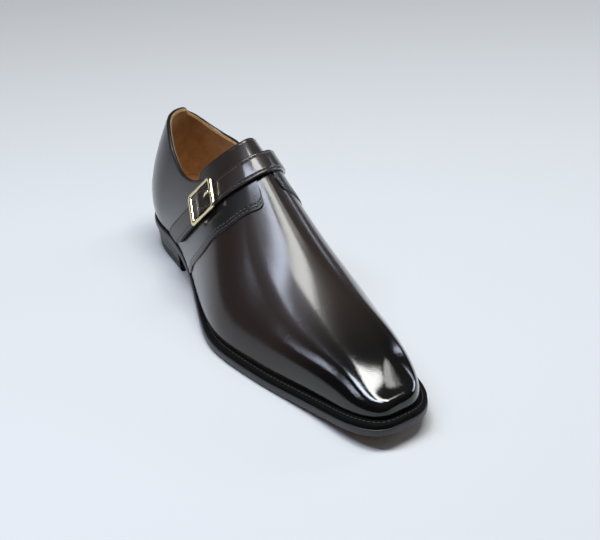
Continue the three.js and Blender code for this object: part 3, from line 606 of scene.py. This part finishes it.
def quarter(side, points):
    """Grid of (w, v) over one quarter, from the back seam to its front edge, and that edge."""
    front = nearest(points)
    below = front[0] + (front[0] - front[1]) * FOOT_STEP
    below[1] = rib_v(0.0, side)
    fine = smooth(np.concatenate([[below], front]) * FLAT_SCALE, 400) / FLAT_SCALE
    front = even(fine, ROWS_FINE, surface(*fine.T))
    w_c = front[-1, 0]
    w = np.linspace(0, w_c, 300)
    t = top_t(w, side)
    t = np.where(w < HEEL_PART, t, np.minimum(t, strip_t(w, side, STRIP[side])))
    t[-1] = rib_v(front[-1, 1], side)
    blend = np.clip((w - (w_c - CORNER_BLEND)) / CORNER_BLEND, 0, 1)
    v = rib_v((1 - blend) * t + blend * t[-1], side)
    top = even(np.stack([w, v], -1), COLS_FINE, surface(w, v))
    foot = np.full(COLS_FINE, rib_v(0.0, side))
    bottom = np.stack([np.linspace(0, front[0, 0], COLS_FINE), foot], -1)
    back = np.stack([np.zeros(ROWS_FINE), np.linspace(bottom[0, 1], top[0, 1], ROWS_FINE)], -1)
    rows = knots((0.97, 90), (0.985, 4), (1.0, 8))
    cols = knots((0.93, 110), (0.965, 14), (0.99, 12), (1.0, 8))
    return resample(coons(bottom, top, back, front), rows, cols), front


# the flaps' stitched lines: distance from the edge, depth and half width of each groove
GROOVES = [(2.0, 0.28, 0.34), (4.3, 0.28, 0.34)]
FLAP_LOW, FLAP_ROUND = 0.02, 0.55
quarter_out, front_out = quarter(-1, FLAP_OUT)
quarter_in, front_in = quarter(1, FLAP_IN)
outer = panel("quarter_outer", quarter_out, FLAP_LOW, QUARTER, ("end",), quarter_mat, FLAP_ROUND,
              grooves=GROOVES)
inner = panel("quarter_inner", quarter_in, FLAP_LOW, QUARTER, ("end",), quarter_mat, FLAP_ROUND, flip=True,
              grooves=GROOVES)

# Vamp
W_VAMP = float(nearest([(88, -38, 15)])[0, 0])   # the vamp starts here, under the quarters


def skin(name, w, cap, count, height, flip_side, mat, digits=3):
    """Both sides of the last as one welded sheet, from the feather line up to the shares in cap."""
    verts, faces = [], []
    t = np.linspace(0, 1, count)
    for side in (-1, 1):
        v = rib_v(t[None, :] * cap[side][:, None], side)
        p = on_last(np.broadcast_to(w[:, None], v.shape), v, np.full(v.shape, height))
        faces.append(quads(*v.shape, base=sum(len(x) for x in verts), flip=side == flip_side))
        verts.append(p.reshape(-1, 3))
    v, f = weld(np.concatenate(verts), np.concatenate(faces), digits)
    return mesh(name, v, f, mat)


def vamp():
    w = W_VAMP + (1 - W_VAMP) * knots((0.75, 190), (0.93, 90), (1.0, 60))
    cap = {side: np.where(w < W_TOP, top_t(np.minimum(w, W_TOP), side), 1.0) for side in (-1, 1)}
    return skin("vamp", w, cap, 118, 0.0, -1, vamp_mat)


vamp_obj = vamp()
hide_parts("upper")

# Lining, collar edge, back tab
W_IN = float(nearest([(190, -40, 15)])[0, 0])   # the lining ends here, out of sight


def lining():
    w = np.linspace(0, W_IN, 150)
    cap = {side: top_t(w, side) for side in (-1, 1)}
    return skin("lining", w, cap, 60, -WALL, 1, lining_mat, 2)


lining_obj = lining()


GRIP_FRONT, GRIP_THICK = (92, -36, 25), 0.5
TOOTH_FOOT, TOOTH_DEPTH, TOOTH_HALF = 36.0, 1.4, 3.4   # height of the edge, depth and half pitch of its teeth
MEASURED = 60   # column of the grid along which the teeth are counted


def heel_grip():
    """Suede lining of the heel, cut in small teeth along its lower edge."""
    w_end = float(nearest([GRIP_FRONT])[0, 0])
    halves = []
    for side in (-1, 1):
        w = np.linspace(0, w_end, 220)
        t = np.linspace(0.05, 0.9, 200)
        p = surface(w[:, None], rib_v(t, side)[None, :])
        teeth = TOOTH_FOOT + TOOTH_DEPTH * np.abs((lengths(p[:, MEASURED]) / TOOTH_HALF) % 2 - 1)
        low = t[np.argmax(p[..., 2] > teeth[:, None], axis=1)]
        share = np.linspace(0, 1, 40)[:, None]
        tt = low[None] + (top_t(w, side) - low)[None] * share
        halves.append(np.stack([np.broadcast_to(w, tt.shape), rib_v(tt, side)], -1))
    wv = np.concatenate([halves[0][:, ::-1], halves[1][:, 1:]], 1)
    return panel("heel_grip", wv, -WALL, -WALL - GRIP_THICK, (), suede_mat, 0.01, flip=True)


def collar_path():
    """Points and normals round the collar, from the throat along the outer side and back inside."""
    w_t = {side: W_FINE[np.argmax((COLLAR[side] >= 0.999) & (W_FINE > HEEL_PART))] for side in (-1, 1)}
    a = np.linspace(w_t[-1], 0, 300)
    b = np.linspace(0, w_t[1], 300)[1:]
    path = np.concatenate([np.stack([a, top_t(a, -1)], -1), np.stack([b, 2 - top_t(b, 1)], -1)])
    p = surface(path[:, 0], path[:, 1])
    n = normal(path[:, 0], path[:, 1])
    both = even(np.concatenate([p, n], -1), 420, p)
    p, n = both[:, :3], unit(both[:, 3:])
    relax(p, 6)
    relax(n, 6)
    return p, unit(n)


COLLAR_P, COLLAR_N = collar_path()


RIM_RISE, BAND_TOP, BAND_FOOT = 1.15, -1.4, -3.2   # heights from the collar's line
LEATHER_UP_TO, CUT_UP_TO = 12, 13   # faces across the rim: leather, cut edge, then suede


def collar_edge():
    """Rounded rim over quarters and lining, with a narrow band down each side."""
    t = unit(np.gradient(COLLAR_P, axis=0))
    up = unit(np.cross(t, COLLAR_N))
    up[up[:, 2] < 0] *= -1
    mid, half = (QUARTER - WALL) / 2, (QUARTER + WALL) / 2
    prof = [(QUARTER + 0.03, BAND_FOOT), (QUARTER + 0.06, BAND_TOP)]
    prof += [(mid + (half + 0.05) * math.cos(a), RIM_RISE * math.sin(a)) for a in np.linspace(0, math.pi, 15)]
    prof += [(-WALL - 0.05, BAND_TOP), (-WALL - 0.03, BAND_FOOT)]
    rows = np.stack([COLLAR_P + COLLAR_N * x + up * z for x, z in prof], 1)
    mats = [quarter_mat, binding_mat, suede_mat]
    obj = mesh("collar_edge", rows.reshape(-1, 3), quads(len(COLLAR_P), len(prof)), mats)
    across_rim = np.arange(len(obj.data.polygons)) % (len(prof) - 1)
    which = (across_rim >= LEATHER_UP_TO).astype(int) + (across_rim >= CUT_UP_TO)
    obj.data.polygons.foreach_set("material_index", which.tolist())
    return obj


collar_edge()
heel_grip()


TAB_WIDTH, TAB_DROP, TAB_RAISE = 9.0, 13.0, 0.9
TAB_BELOW, TAB_CURVE = 0.012, 0.35   # rib share under the collar, and how much shorter its sides are
BACK_SPAN = 88.0   # mm of its height to one unit of rib share


def back_tab():
    """Grid of (w, v) of the small piece over the back seam, under the collar."""
    half = 0.5 * TAB_WIDTH
    w = np.linspace(0, 0.03, 400)
    rows, out = np.linspace(0, 1, 30), []
    for x in np.linspace(-half, half, 25):
        side = -1 if x < 0 else 1
        t_top = top_t(w, side) - TAB_BELOW
        p = surface(w, rib_v(t_top, side))
        k = np.argmin(np.abs(p[:, 0] - p[0, 0] - x))
        drop = TAB_DROP * (1 - TAB_CURVE * (abs(x) / half) ** 2)
        t = t_top[k] - rows * drop / BACK_SPAN
        out.append(np.stack([np.full(len(rows), w[k]), rib_v(t, side)], -1))
    return np.stack(out, 1)


tab_obj = panel("heel_tab", back_tab(), 0.5, QUARTER + TAB_RAISE, ("low", "high", "start", "end"),
                quarter_mat, 0.4)
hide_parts("back_tab")

# Strap
# plane across the strap, through a point on its middle line
STRAP_NORMAL = unit(np.array([0.2957, -0.6585, -0.692]))
STRAP_AT = np.array([-0.071 * BALL, LENGTH / 2 - 0.4235 * LENGTH, 0.867 * INSTEP])
STRAP_WIDE, STRAP_THICK, STRAP_CLEAR = 14.0, 2.2, 0.45
STRAP_TAIL, STRAP_END, TAIL_ROUND = 0.05, 1.93, 0.10   # ribs where it starts and ends, and its tip's round
STRAP_ROUND, STRAP_GROOVE, GROOVE_DEPTH, GROOVE_HALF = 0.6, 1.85, 0.4, 0.34
STITCH_START, STITCH_STOP = 22, -2   # rows of the strap's grid
# its rear and front edges at each rib, as shares of its width
EDGES = np.array([(0.00, -0.51, 0.49), (0.25, -0.50, 0.51), (0.45, -0.50, 0.45), (0.60, -0.56, 0.38),
                  (0.80, -0.57, 0.44), (1.00, -0.51, 0.49), (1.20, -0.49, 0.56), (1.93, -0.49, 0.56)])
strap_rear = spline(EDGES[:, 0], EDGES[:, 1] * STRAP_WIDE)
strap_front = spline(EDGES[:, 0], EDGES[:, 2] * STRAP_WIDE)
BUCKLE_RIB, BUCKLE_SHIFT, BUCKLE_TILT, BUCKLE_ROLL = 0.49, -1.0, 0.04, 0.05
HUMP_HEIGHT, HUMP_REACH = 3.7, 10.5


def across(p):
    """Distance from the strap's middle plane, toward the toe."""
    return (p - STRAP_AT) @ STRAP_NORMAL


def station_at(v, g):
    """Station where the rib line v crosses the strap distance g."""
    v, g = np.broadcast_arrays(np.asarray(v, float), np.asarray(g, float))
    lo, hi = np.full(v.shape, 0.03), np.full(v.shape, 0.75)
    for _ in range(32):
        mid = (lo + hi) / 2
        less = across(surface(mid, v)) < g
        lo, hi = np.where(less, mid, lo), np.where(less, hi, mid)
    return (lo + hi) / 2


def buckle_axes():
    """Buckle's centre and its directions: along the strap, across it, and outward."""
    def at(v):
        return surface(station_at(v, BUCKLE_SHIFT), v)

    centre = at(BUCKLE_RIB)
    out = normal(station_at(BUCKLE_RIB, BUCKLE_SHIFT), BUCKLE_RIB)
    run = at(BUCKLE_RIB + 0.01) - at(BUCKLE_RIB - 0.01)
    flat = unit(run - out * (run @ out))
    side = np.cross(out, flat)
    side, out = (side * math.cos(BUCKLE_TILT) + out * math.sin(BUCKLE_TILT),
                 out * math.cos(BUCKLE_TILT) - side * math.sin(BUCKLE_TILT))
    long = flat * math.cos(BUCKLE_ROLL) + side * math.sin(BUCKLE_ROLL)
    return centre, long, side * math.cos(BUCKLE_ROLL) - flat * math.sin(BUCKLE_ROLL), out


B_CENTRE, B_LONG, B_WIDE, B_OUT = buckle_axes()


def hump(p):
    """Rise of the strap over the buckle's pin."""
    d = (p - B_CENTRE) @ B_LONG / HUMP_REACH
    near = np.abs((p - B_CENTRE) @ B_OUT) < 30
    return np.where((np.abs(d) < 1) & near, HUMP_HEIGHT * np.cos(np.pi / 2 * np.clip(d, -1, 1)) ** 2, 0)


def strap():
    """The strap and its two stitch lines."""
    near = np.array([0, 0.08, 0.25, 0.5, 0.8, 1.1, 1.35, 1.55, 1.7, STRAP_GROOVE, 2.0, 2.2, 2.5, 3.0, 4.0,
                     5.4])
    dist = np.concatenate([near, STRAP_WIDE - near[::-1]])
    j = dist / STRAP_WIDE * 2 - 1
    rib = knots((0.05, 16), (0.17, 22), (0.30, 70), (1.0, 150))
    base = STRAP_TAIL + (STRAP_END - STRAP_TAIL) * rib
    corner = 1 - np.sqrt(np.maximum(1 - j**4, 0))
    v = base[:, None] + TAIL_ROUND * corner[None, :] * np.maximum(1 - rib / 0.15, 0)[:, None]
    rear, front = strap_rear(v), strap_front(v)
    g = (rear + front) / 2 + j[None, :] * (front - rear) / 2
    w = station_at(v, g)
    p = surface(w, v)
    low = QUARTER + STRAP_CLEAR + hump(p)
    d = np.minimum(dist, STRAP_WIDE - dist)[None, :] * np.ones((len(rib), 1))
    d = np.minimum(d, lengths(p[:, len(j) // 2])[:, None])
    cut = groove(d, STRAP_GROOVE, GROOVE_DEPTH, GROOVE_HALF)
    n = normal(w, v)
    top = p + n * (low + STRAP_THICK - rounding(d, STRAP_ROUND) - cut)[..., None]
    bot = p + n * low[..., None]
    rows, cols = v.shape
    m = rows * cols
    ring = border(rows, cols)
    nxt = np.roll(ring, -1)
    faces = np.concatenate([quads(rows, cols), quads(rows, cols, base=m, flip=True),
                            np.stack([ring, ring + m, nxt + m, nxt], -1)[:, ::-1]])
    obj = mesh("strap_band", np.concatenate([top.reshape(-1, 3), bot.reshape(-1, 3)]), faces, strap_mat)
    k = int(np.argmin(np.abs(near - STRAP_GROOVE)))
    sewn = slice(STITCH_START, STITCH_STOP)
    return obj, [(top[sewn, c], n[sewn, c]) for c in (k, cols - 1 - k)]


strap_obj, strap_lines = strap()
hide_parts("strap")
stitches("strap_stitches", strap_lines, thread_mat)

# Buckle
FRAME_OUT, FRAME_THICK, FRAME_LONG, FRAME_WIDE, FRAME_BAR = 4.2, 2.0, 28.0, 22.4, 2.2
PIN_OUT, PIN_RADIUS = 3.6, 0.8
FRAME_CORNER, BAR_POWER = 2.2, 0.7   # corner's radius; the bar's section is a rounded square
END_SWELL, END_REACH = 0.60, 3   # the two ends are broader
KNUCKLE_HALF, PRONG_ROOT, PRONG_TIP = 1.7, 1.05, 0.75


def on_buckle(points):
    """Points given along the strap, across it and outward from the buckle's centre."""
    p = np.asarray(points, float)
    return B_CENTRE + p[..., :1] * B_LONG + p[..., 1:2] * B_WIDE + p[..., 2:3] * B_OUT


def buckle():
    """Ring, pin, knuckle and prong."""
    bar, b = FRAME_LONG / 2 - FRAME_BAR / 2, FRAME_WIDE / 2 - FRAME_BAR / 2
    path = []
    for cx, cy, start in ((bar, b, 0), (-bar, b, 90), (-bar, -b, 180), (bar, -b, 270)):
        for k in np.linspace(0, 90, 10):
            q = math.radians(start + k)
            path.append((cx + math.copysign(FRAME_CORNER, -cx) + FRAME_CORNER * math.cos(q),
                         cy + math.copysign(FRAME_CORNER, -cy) + FRAME_CORNER * math.sin(q)))
    path = even(np.array(path + [path[0]]), 241)[:-1]
    tangent = unit(np.roll(path, -1, 0) - np.roll(path, 1, 0))
    side = np.stack([tangent[:, 1], -tangent[:, 0]], -1)
    ends = np.clip((np.abs(path[:, 0]) - (bar - END_REACH)) / END_REACH, 0, 1)
    half = FRAME_BAR / 2 * (1.0 + END_SWELL * ends)
    ang = np.arange(20) * 2 * math.pi / 20
    ca, sa = np.cos(ang), np.sin(ang)
    ca, sa = np.sign(ca) * np.abs(ca) ** BAR_POWER, np.sign(sa) * np.abs(sa) ** BAR_POWER
    n, m = len(path), len(ang)
    ring = np.zeros((n, m, 3))
    ring[..., :2] = path[:, None] + side[:, None] * (half[:, None] * ca[None])[..., None]
    ring[..., 2] = FRAME_OUT + FRAME_THICK / 2 + FRAME_THICK / 2 * sa[None]
    faces = np.roll(quads(n + 1, m, flip=True, closed=True) % (n * m), 1, axis=1)
    obj = mesh("buckle_ring", on_buckle(ring).reshape(-1, 3), faces, gold_mat)
    pin = on_buckle([(0, x, PIN_OUT) for x in np.linspace(-FRAME_WIDE / 2 + 1, FRAME_WIDE / 2 - 1, 12)])
    tube("buckle_pin", pin, PIN_RADIUS, gold_mat, 14)
    knuckle = [(bar, x, FRAME_OUT + FRAME_THICK / 2) for x in np.linspace(-KNUCKLE_HALF, KNUCKLE_HALF, 9)]
    swell = 1.0 + 0.60 * np.sqrt(1 - np.linspace(-1, 1, 9) ** 4 * 0.98)
    tube("buckle_knuckle", on_buckle(knuckle), swell, gold_mat, 18)
    line = smooth([(bar - 0.4, 0, 7.1), (10.5, 0, 7.3), (8.2, 0, 6.9), (6.0, 0, 6.1), (3.6, 0, 5.0)], 40)
    prong = tube("buckle_tongue", on_buckle(line), np.linspace(PRONG_ROOT, PRONG_TIP, 40), gold_mat, 14)
    return obj, prong


ring_obj, prong_obj = buckle()
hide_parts("buckle_frame")
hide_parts("buckle_prong")

# Tongue
TONGUE_OFF, TONGUE_THICK = WALL + GAP, 1.6
# outline of its top edge: rib share and distance from the strap's middle
TONGUE_TOP = np.array([(0.455, -11.5), (0.460, -16.5), (0.475, -18.4), (0.515, -23.4), (0.53, -24.3),
                       (0.56, -24.4), (0.70, -23.6), (0.85, -22.6), (1.0, -22.0), (1.15, -21.0),
                       (1.30, -19.5), (1.42, -18.5), (1.48, -16.5), (1.50, -12.0)])
TONGUE_FROM, TONGUE_SPAN, TONGUE_LOW = 0.455, 1.045, 11.0   # ribs it covers, and its end under the vamp


def tongue():
    """Grid of (w, v) of the tongue, from its top edge down under the vamp."""
    rib = TONGUE_FROM + TONGUE_SPAN * knots((0.12, 50), (1.0, 120))
    top = np.interp(rib, TONGUE_TOP[:, 0], TONGUE_TOP[:, 1])
    relax(top, 2)
    share = knots((0.02, 6), (0.06, 6), (0.12, 10), (1.0, 40))
    g = top[None, :] + (TONGUE_LOW - top[None, :]) * share[:, None]
    v = np.broadcast_to(rib[None, :], g.shape)
    return np.stack([station_at(v, g), v], -1)


tongue_obj = panel("tongue_leaf", tongue(), -TONGUE_OFF - TONGUE_THICK, -TONGUE_OFF + 0.5,
                   ("low", "start", "end"), strap_mat, 0.6, grooves=[(2.4, 0.16, 0.3)])
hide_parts("tongue")

# Sole, welt, heel
LOOP_W = knots((0.80, 220), (0.97, 90), (1.0, 40))


def sole_edge(u, side, inset, z):
    """Line inset mm inside the sole's edge; z gives its height at each place along the shoe."""
    s = inset + (LENGTH - 2 * inset) * u
    _, _, back_round, back_power, front_round, front_power = LOOPS[0]
    e = closure((s - inset) / back_round, back_power, back_power)
    e = e * closure((LENGTH - inset - s) / front_round, FRONT_CURVE, front_power)
    p = place(s, side * (plan["half"](s) - inset) * e, plan["centre"](s), 0.0)
    p[:, 2] = z(s)
    return p


def ring_loft(section, stop):
    """Loft of (inset, height function) round the sole's edge; stop cuts it off square."""
    u = np.interp(LOOP_W, RUN, SHARE)
    if stop is not None:
        u = np.append(u[u * LENGTH < stop], stop / LENGTH)
    outer = np.stack([sole_edge(u, -1, d, z) for d, z in section], 1)
    inner = np.stack([sole_edge(u, 1, d, z) for d, z in section], 1)
    if stop is None:
        rows = np.concatenate([outer, inner[::-1][1:-1]])
    else:
        rows = np.concatenate([inner[::-1], outer[1:]])
        rows[[0, -1], :, 1] = LENGTH / 2 - stop
    n, cut = len(rows), stop is not None
    return rows, (quads(n if cut else n + 1, len(section), flip=cut) % (n * len(section))).tolist()


def sole_top(s):
    return ground(s) + SOLE


def welt_top(s):
    return sole_top(s) + GAP + WELT


def lift(fn, dz):
    return lambda s: fn(s) + dz


def loft_piece(name, section, mat, top=False, bottom=False, stop=None, bottom_mat=None):
    """Layer with a section round its edge, closed at its top and bottom where asked."""
    rows, faces = ring_loft(section, stop)
    n, cols = rows.shape[:2]
    mats = [0] * len(faces)
    for col, want in ((0, top), (cols - 1, bottom)):
        if not want:
            continue
        if stop is None:
            a = np.arange((n + 2) // 2)
            b = (n - a) % n
        else:
            m = (n - 1) // 2
            a = m + np.arange(n - m)
            b = m - np.arange(n - m)
        for k in range(len(a) - 1):
            f = (a[k] * cols + col, a[k + 1] * cols + col, b[k + 1] * cols + col, b[k] * cols + col)
            f = tuple(dict.fromkeys(int(x) for x in f))
            if len(f) > 2:
                faces.append(f)
                mats.append(1 if bottom_mat is not None and col else 0)
    if stop is not None:
        faces.append(tuple([j for j in range(cols)] + [(n - 1) * cols + j for j in range(cols - 1, -1, -1)]))
        mats.append(0)
    obj = mesh(name, rows.reshape(-1, 3), faces, [mat] + ([bottom_mat] if bottom_mat is not None else []))
    if len(mats) == len(obj.data.polygons):
        obj.data.polygons.foreach_set("material_index", mats)
    return obj


def edge_section(*points):
    """Section from (inset, height function, mm over it)."""
    return [(inset, lift(fn, dz)) for inset, fn, dz in points]


outsole = loft_piece("sole_layer", edge_section(
    (6.0, sole_top, 0.0), (0.9, sole_top, 0.0), (0.35, sole_top, -0.1), (0.08, sole_top, -0.4),
    (0.0, sole_top, -0.9), (0.0, ground, 2.4), (0.12, ground, 1.2), (0.35, ground, 0.6), (0.8, ground, 0.15),
    (1.6, ground, 0.0)), sole_mat, bottom=True, bottom_mat=under_mat)
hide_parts("outsole")
welt = loft_piece("welt_layer", edge_section(
    (13.0, welt_top, 0.0), (2.2, welt_top, 0.0), (1.2, welt_top, -0.08), (0.75, welt_top, -0.3),
    (0.55, welt_top, -0.7), (0.5, welt_top, -1.4), (0.55, sole_top, 0.6), (0.9, sole_top, 0.15),
    (3.0, sole_top, 0.05)), welt_mat)
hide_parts("welt")

HEEL_SEAT = float(ground(0.0))
HEEL_INSET, HEEL_TAPER, TOP_LIFT = 1.2, 2.4, 6.0
LIFT_LINES, LINE_DEPTH, LINE_HALF = (9.6, 13.0), 0.28, 0.16   # the fine grooves between the heel's lifts


def heel_inset(z):
    """How far the heel's side lies inside the sole's edge at a height."""
    return HEEL_INSET + HEEL_TAPER * (1 - z / HEEL_SEAT)


def flat_z(z):
    """Height function of a level line, kept under the outsole."""
    return lambda s: np.minimum(z, ground(s) - GAP) + 0 * s


def heel_section(low, high):
    out = []
    for z in np.linspace(high, low, 28):
        cut = sum(LINE_DEPTH * math.exp(-(((z - g) / LINE_HALF) ** 2)) for g in LIFT_LINES)
        out.append((heel_inset(z) + cut, flat_z(z)))
    return out


stack = loft_piece("heel_layers", heel_section(TOP_LIFT + GAP, HEEL_SEAT - GAP), sole_mat, top=True,
                   bottom=True, stop=HEEL_LENGTH)
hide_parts("heel_stack")
rubber = [(heel_inset(at), flat_z(z)) for at, z in ((6, TOP_LIFT), (6, 5.7), (4, 4.0), (2, 2.0), (0.4, 0.4))]
rubber.append((heel_inset(0) + 0.4, flat_z(0.0)))
top_piece = loft_piece("rubber_lift", rubber, rubber_mat, top=True, bottom=True, stop=HEEL_LENGTH)
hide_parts("top_lift")

# Stitch rows on the upper and welt
def inset_line(front, dist, side):
    """The line parallel to a front edge, dist mm behind it, as (w, v)."""
    p = surface(front[:, 0], front[:, 1])
    n = normal(front[:, 0], front[:, 1])
    t = unit(np.gradient(p, axis=0))
    inward = np.cross(n, t) * (1 if side < 0 else -1)
    return nearest([(LENGTH / 2 - a[1], a[0], a[2]) for a in p + inward * dist])


rows_out = [inset_line(front_out[3::3], d, -1) for d, _, _ in GROOVES]
rows_in = [inset_line(front_in[3::3], d, 1) for d, _, _ in GROOVES]
stitches("flap_stitches", [line_on(r, QUARTER - 0.14) for r in rows_out + rows_in], thread_mat)
WELT_ROW, WELT_ROW_FROM = 3.2, 104   # inset of the welt's row, and where it starts from the heel's back


def welt_stitches():
    lines = []
    for side in (-1, 1):
        start = np.interp(WELT_ROW_FROM / LENGTH, SHARE, RUN)
        u = np.interp(np.linspace(start, 1, 400), RUN, SHARE)
        p = sole_edge(u, side, WELT_ROW, lift(welt_top, 0.02))
        lines.append((p, np.zeros_like(p) + (0, 0, 1.0)))
    return stitches("welt_stitches", lines, mark_mat, pitch=3.0, length=2.3, radius=0.34, sink=0.02)


welt_stitches()

# The piece of the frame that stays
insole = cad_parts["insole"]
insole.data.materials.clear()
insole.data.materials.append(insole_mat)

# Floor, camera, lights
floor_data = bpy.data.meshes.new("floor")
FLOOR_HALF, FLOOR_DROP = 6, 0.0002
corners = [(x * FLOOR_HALF, y * FLOOR_HALF, 0) for x, y in ((-1, -1), (1, -1), (1, 1), (-1, 1))]
floor_data.from_pydata(corners, [], [(0, 1, 2, 3)])
floor = bpy.data.objects.new("floor", floor_data)
bpy.context.scene.collection.objects.link(floor)
floor_mat, fb = material("floor_paper", (0.62, 0.64, 0.665), 0.8, Specular_IOR_Level=0.0)
# painted shade: the paper's colour darkens toward the back, standing in for the light falling off away from
# the lamps
burnish_and_painted_shade(floor_mat, fb, "Base Color", (0.55, 0.565, 0.585), (0.40, 0.405, 0.40), 0.0, 0.9)
floor_data.materials.append(floor_mat)
floor.location.z = -FLOOR_DROP

# camera: angles, distance in metres, focal length and shifts in pixels
AZ, EL, ROLL, DIST, FOCAL = -26.63, 28.45, 0.60, 1.04643, 1649.84
TARGET_Z, IMAGE_WIDE, PIXELS_X, PIXELS_Y, SENSOR = 0.040, 600, 23.79, -3.55, 36
az, el, roll = map(math.radians, (AZ, EL, ROLL))
back = Vector((math.sin(az) * math.cos(el), -math.cos(az) * math.cos(el), math.sin(el)))
right = (-back).cross(Vector((0, 0, 1))).normalized()
up = right.cross(-back)
right2 = right * math.cos(roll) + up * math.sin(roll)
up2 = -right * math.sin(roll) + up * math.cos(roll)
target = Vector((SHIFT_X * MM, SHIFT_Y * MM, TARGET_Z))
cam_data = bpy.data.cameras.new("camera")
cam = bpy.data.objects.new("camera", cam_data)
bpy.context.scene.collection.objects.link(cam)
eye = target + back * DIST
cam.matrix_world = Matrix([(right2[i], up2[i], back[i], eye[i]) for i in range(3)] + [(0, 0, 0, 1)])
cam_data.sensor_width = SENSOR
cam_data.lens = FOCAL / IMAGE_WIDE * SENSOR
cam_data.shift_x = PIXELS_X / IMAGE_WIDE
cam_data.shift_y = PIXELS_Y / IMAGE_WIDE
cam_data.clip_start, cam_data.clip_end = 0.01, 50
bpy.context.scene.camera = cam

# room light that grows toward the ceiling
world = bpy.data.worlds.new("room")
bpy.context.scene.world = world
world.use_nodes = True
sky, links = world.node_tree.nodes, world.node_tree.links
look = sky.new("ShaderNodeTexCoord")
axes = sky.new("ShaderNodeSeparateXYZ")
climb = sky.new("ShaderNodeMapRange")
climb.interpolation_type = "SMOOTHSTEP"
for socket, value in (("From Min", 0.25), ("From Max", 0.95), ("To Min", 0.03), ("To Max", 0.13)):
    climb.inputs[socket].default_value = value
links.new(look.outputs["Generated"], axes.inputs[0])
links.new(axes.outputs["Z"], climb.inputs["Value"])
sky["Background"].inputs["Color"].default_value = (1.0, 0.96, 0.94, 1)
links.new(climb.outputs["Result"], sky["Background"].inputs["Strength"])


def panel_light(name, a, b, width, radiance, colour, facing=(0, 0, -1)):
    """Flat lamp whose middle line runs from a to b; radiance sets its brightness whatever its size."""
    a, b, facing = Vector(a), Vector(b), Vector(facing).normalized()
    data = bpy.data.lights.new(name, "AREA")
    data.shape = "RECTANGLE"
    data.size, data.size_y = (b - a).length, width
    data.energy = radiance * math.pi * data.size * width
    data.color = colour
    obj = bpy.data.objects.new(name, data)
    bpy.context.scene.collection.objects.link(obj)
    x = (b - a).normalized()
    z = -facing
    y = z.cross(x).normalized()
    x = y.cross(z)
    mid = (a + b) / 2
    obj.matrix_world = Matrix([(x[i], y[i], z[i], mid[i]) for i in range(3)] + [(0, 0, 0, 1)])
    return obj


CEILING = 1.6
COOL, PLAIN = (0.76, 0.83, 1.0), (0.99, 1.0, 0.97)
panel_light("window", (-1.25, 0.466, CEILING), (-0.28, -0.22, CEILING), 0.20, 25.0, COOL)
panel_light("lamp", (-0.41, 0.275, CEILING), (0.45, -0.315, CEILING), 0.36, 20.0, PLAIN)
panel_light("lamp_end", (0.50, -0.12, CEILING), (1.10, -0.02, CEILING), 0.28, 6.0, PLAIN)
panel_light("window_far", (-3.90, 1.37, CEILING), (-2.20, 0.68, CEILING), 0.14, 12.0, COOL)
panel_light("window_side", (2.1, -0.35, 0.75), (2.1, 0.60, 0.75), 0.6, 6.0, COOL, (-1, 0, 0))
panel_light("window_slit", (2.2, 1.20, 0.42), (2.2, 1.12, 1.00), 0.08, 5.0, COOL, (-1, 0, 0))

view = bpy.context.scene.view_settings
view.view_transform = "Standard"
view.look = "None"
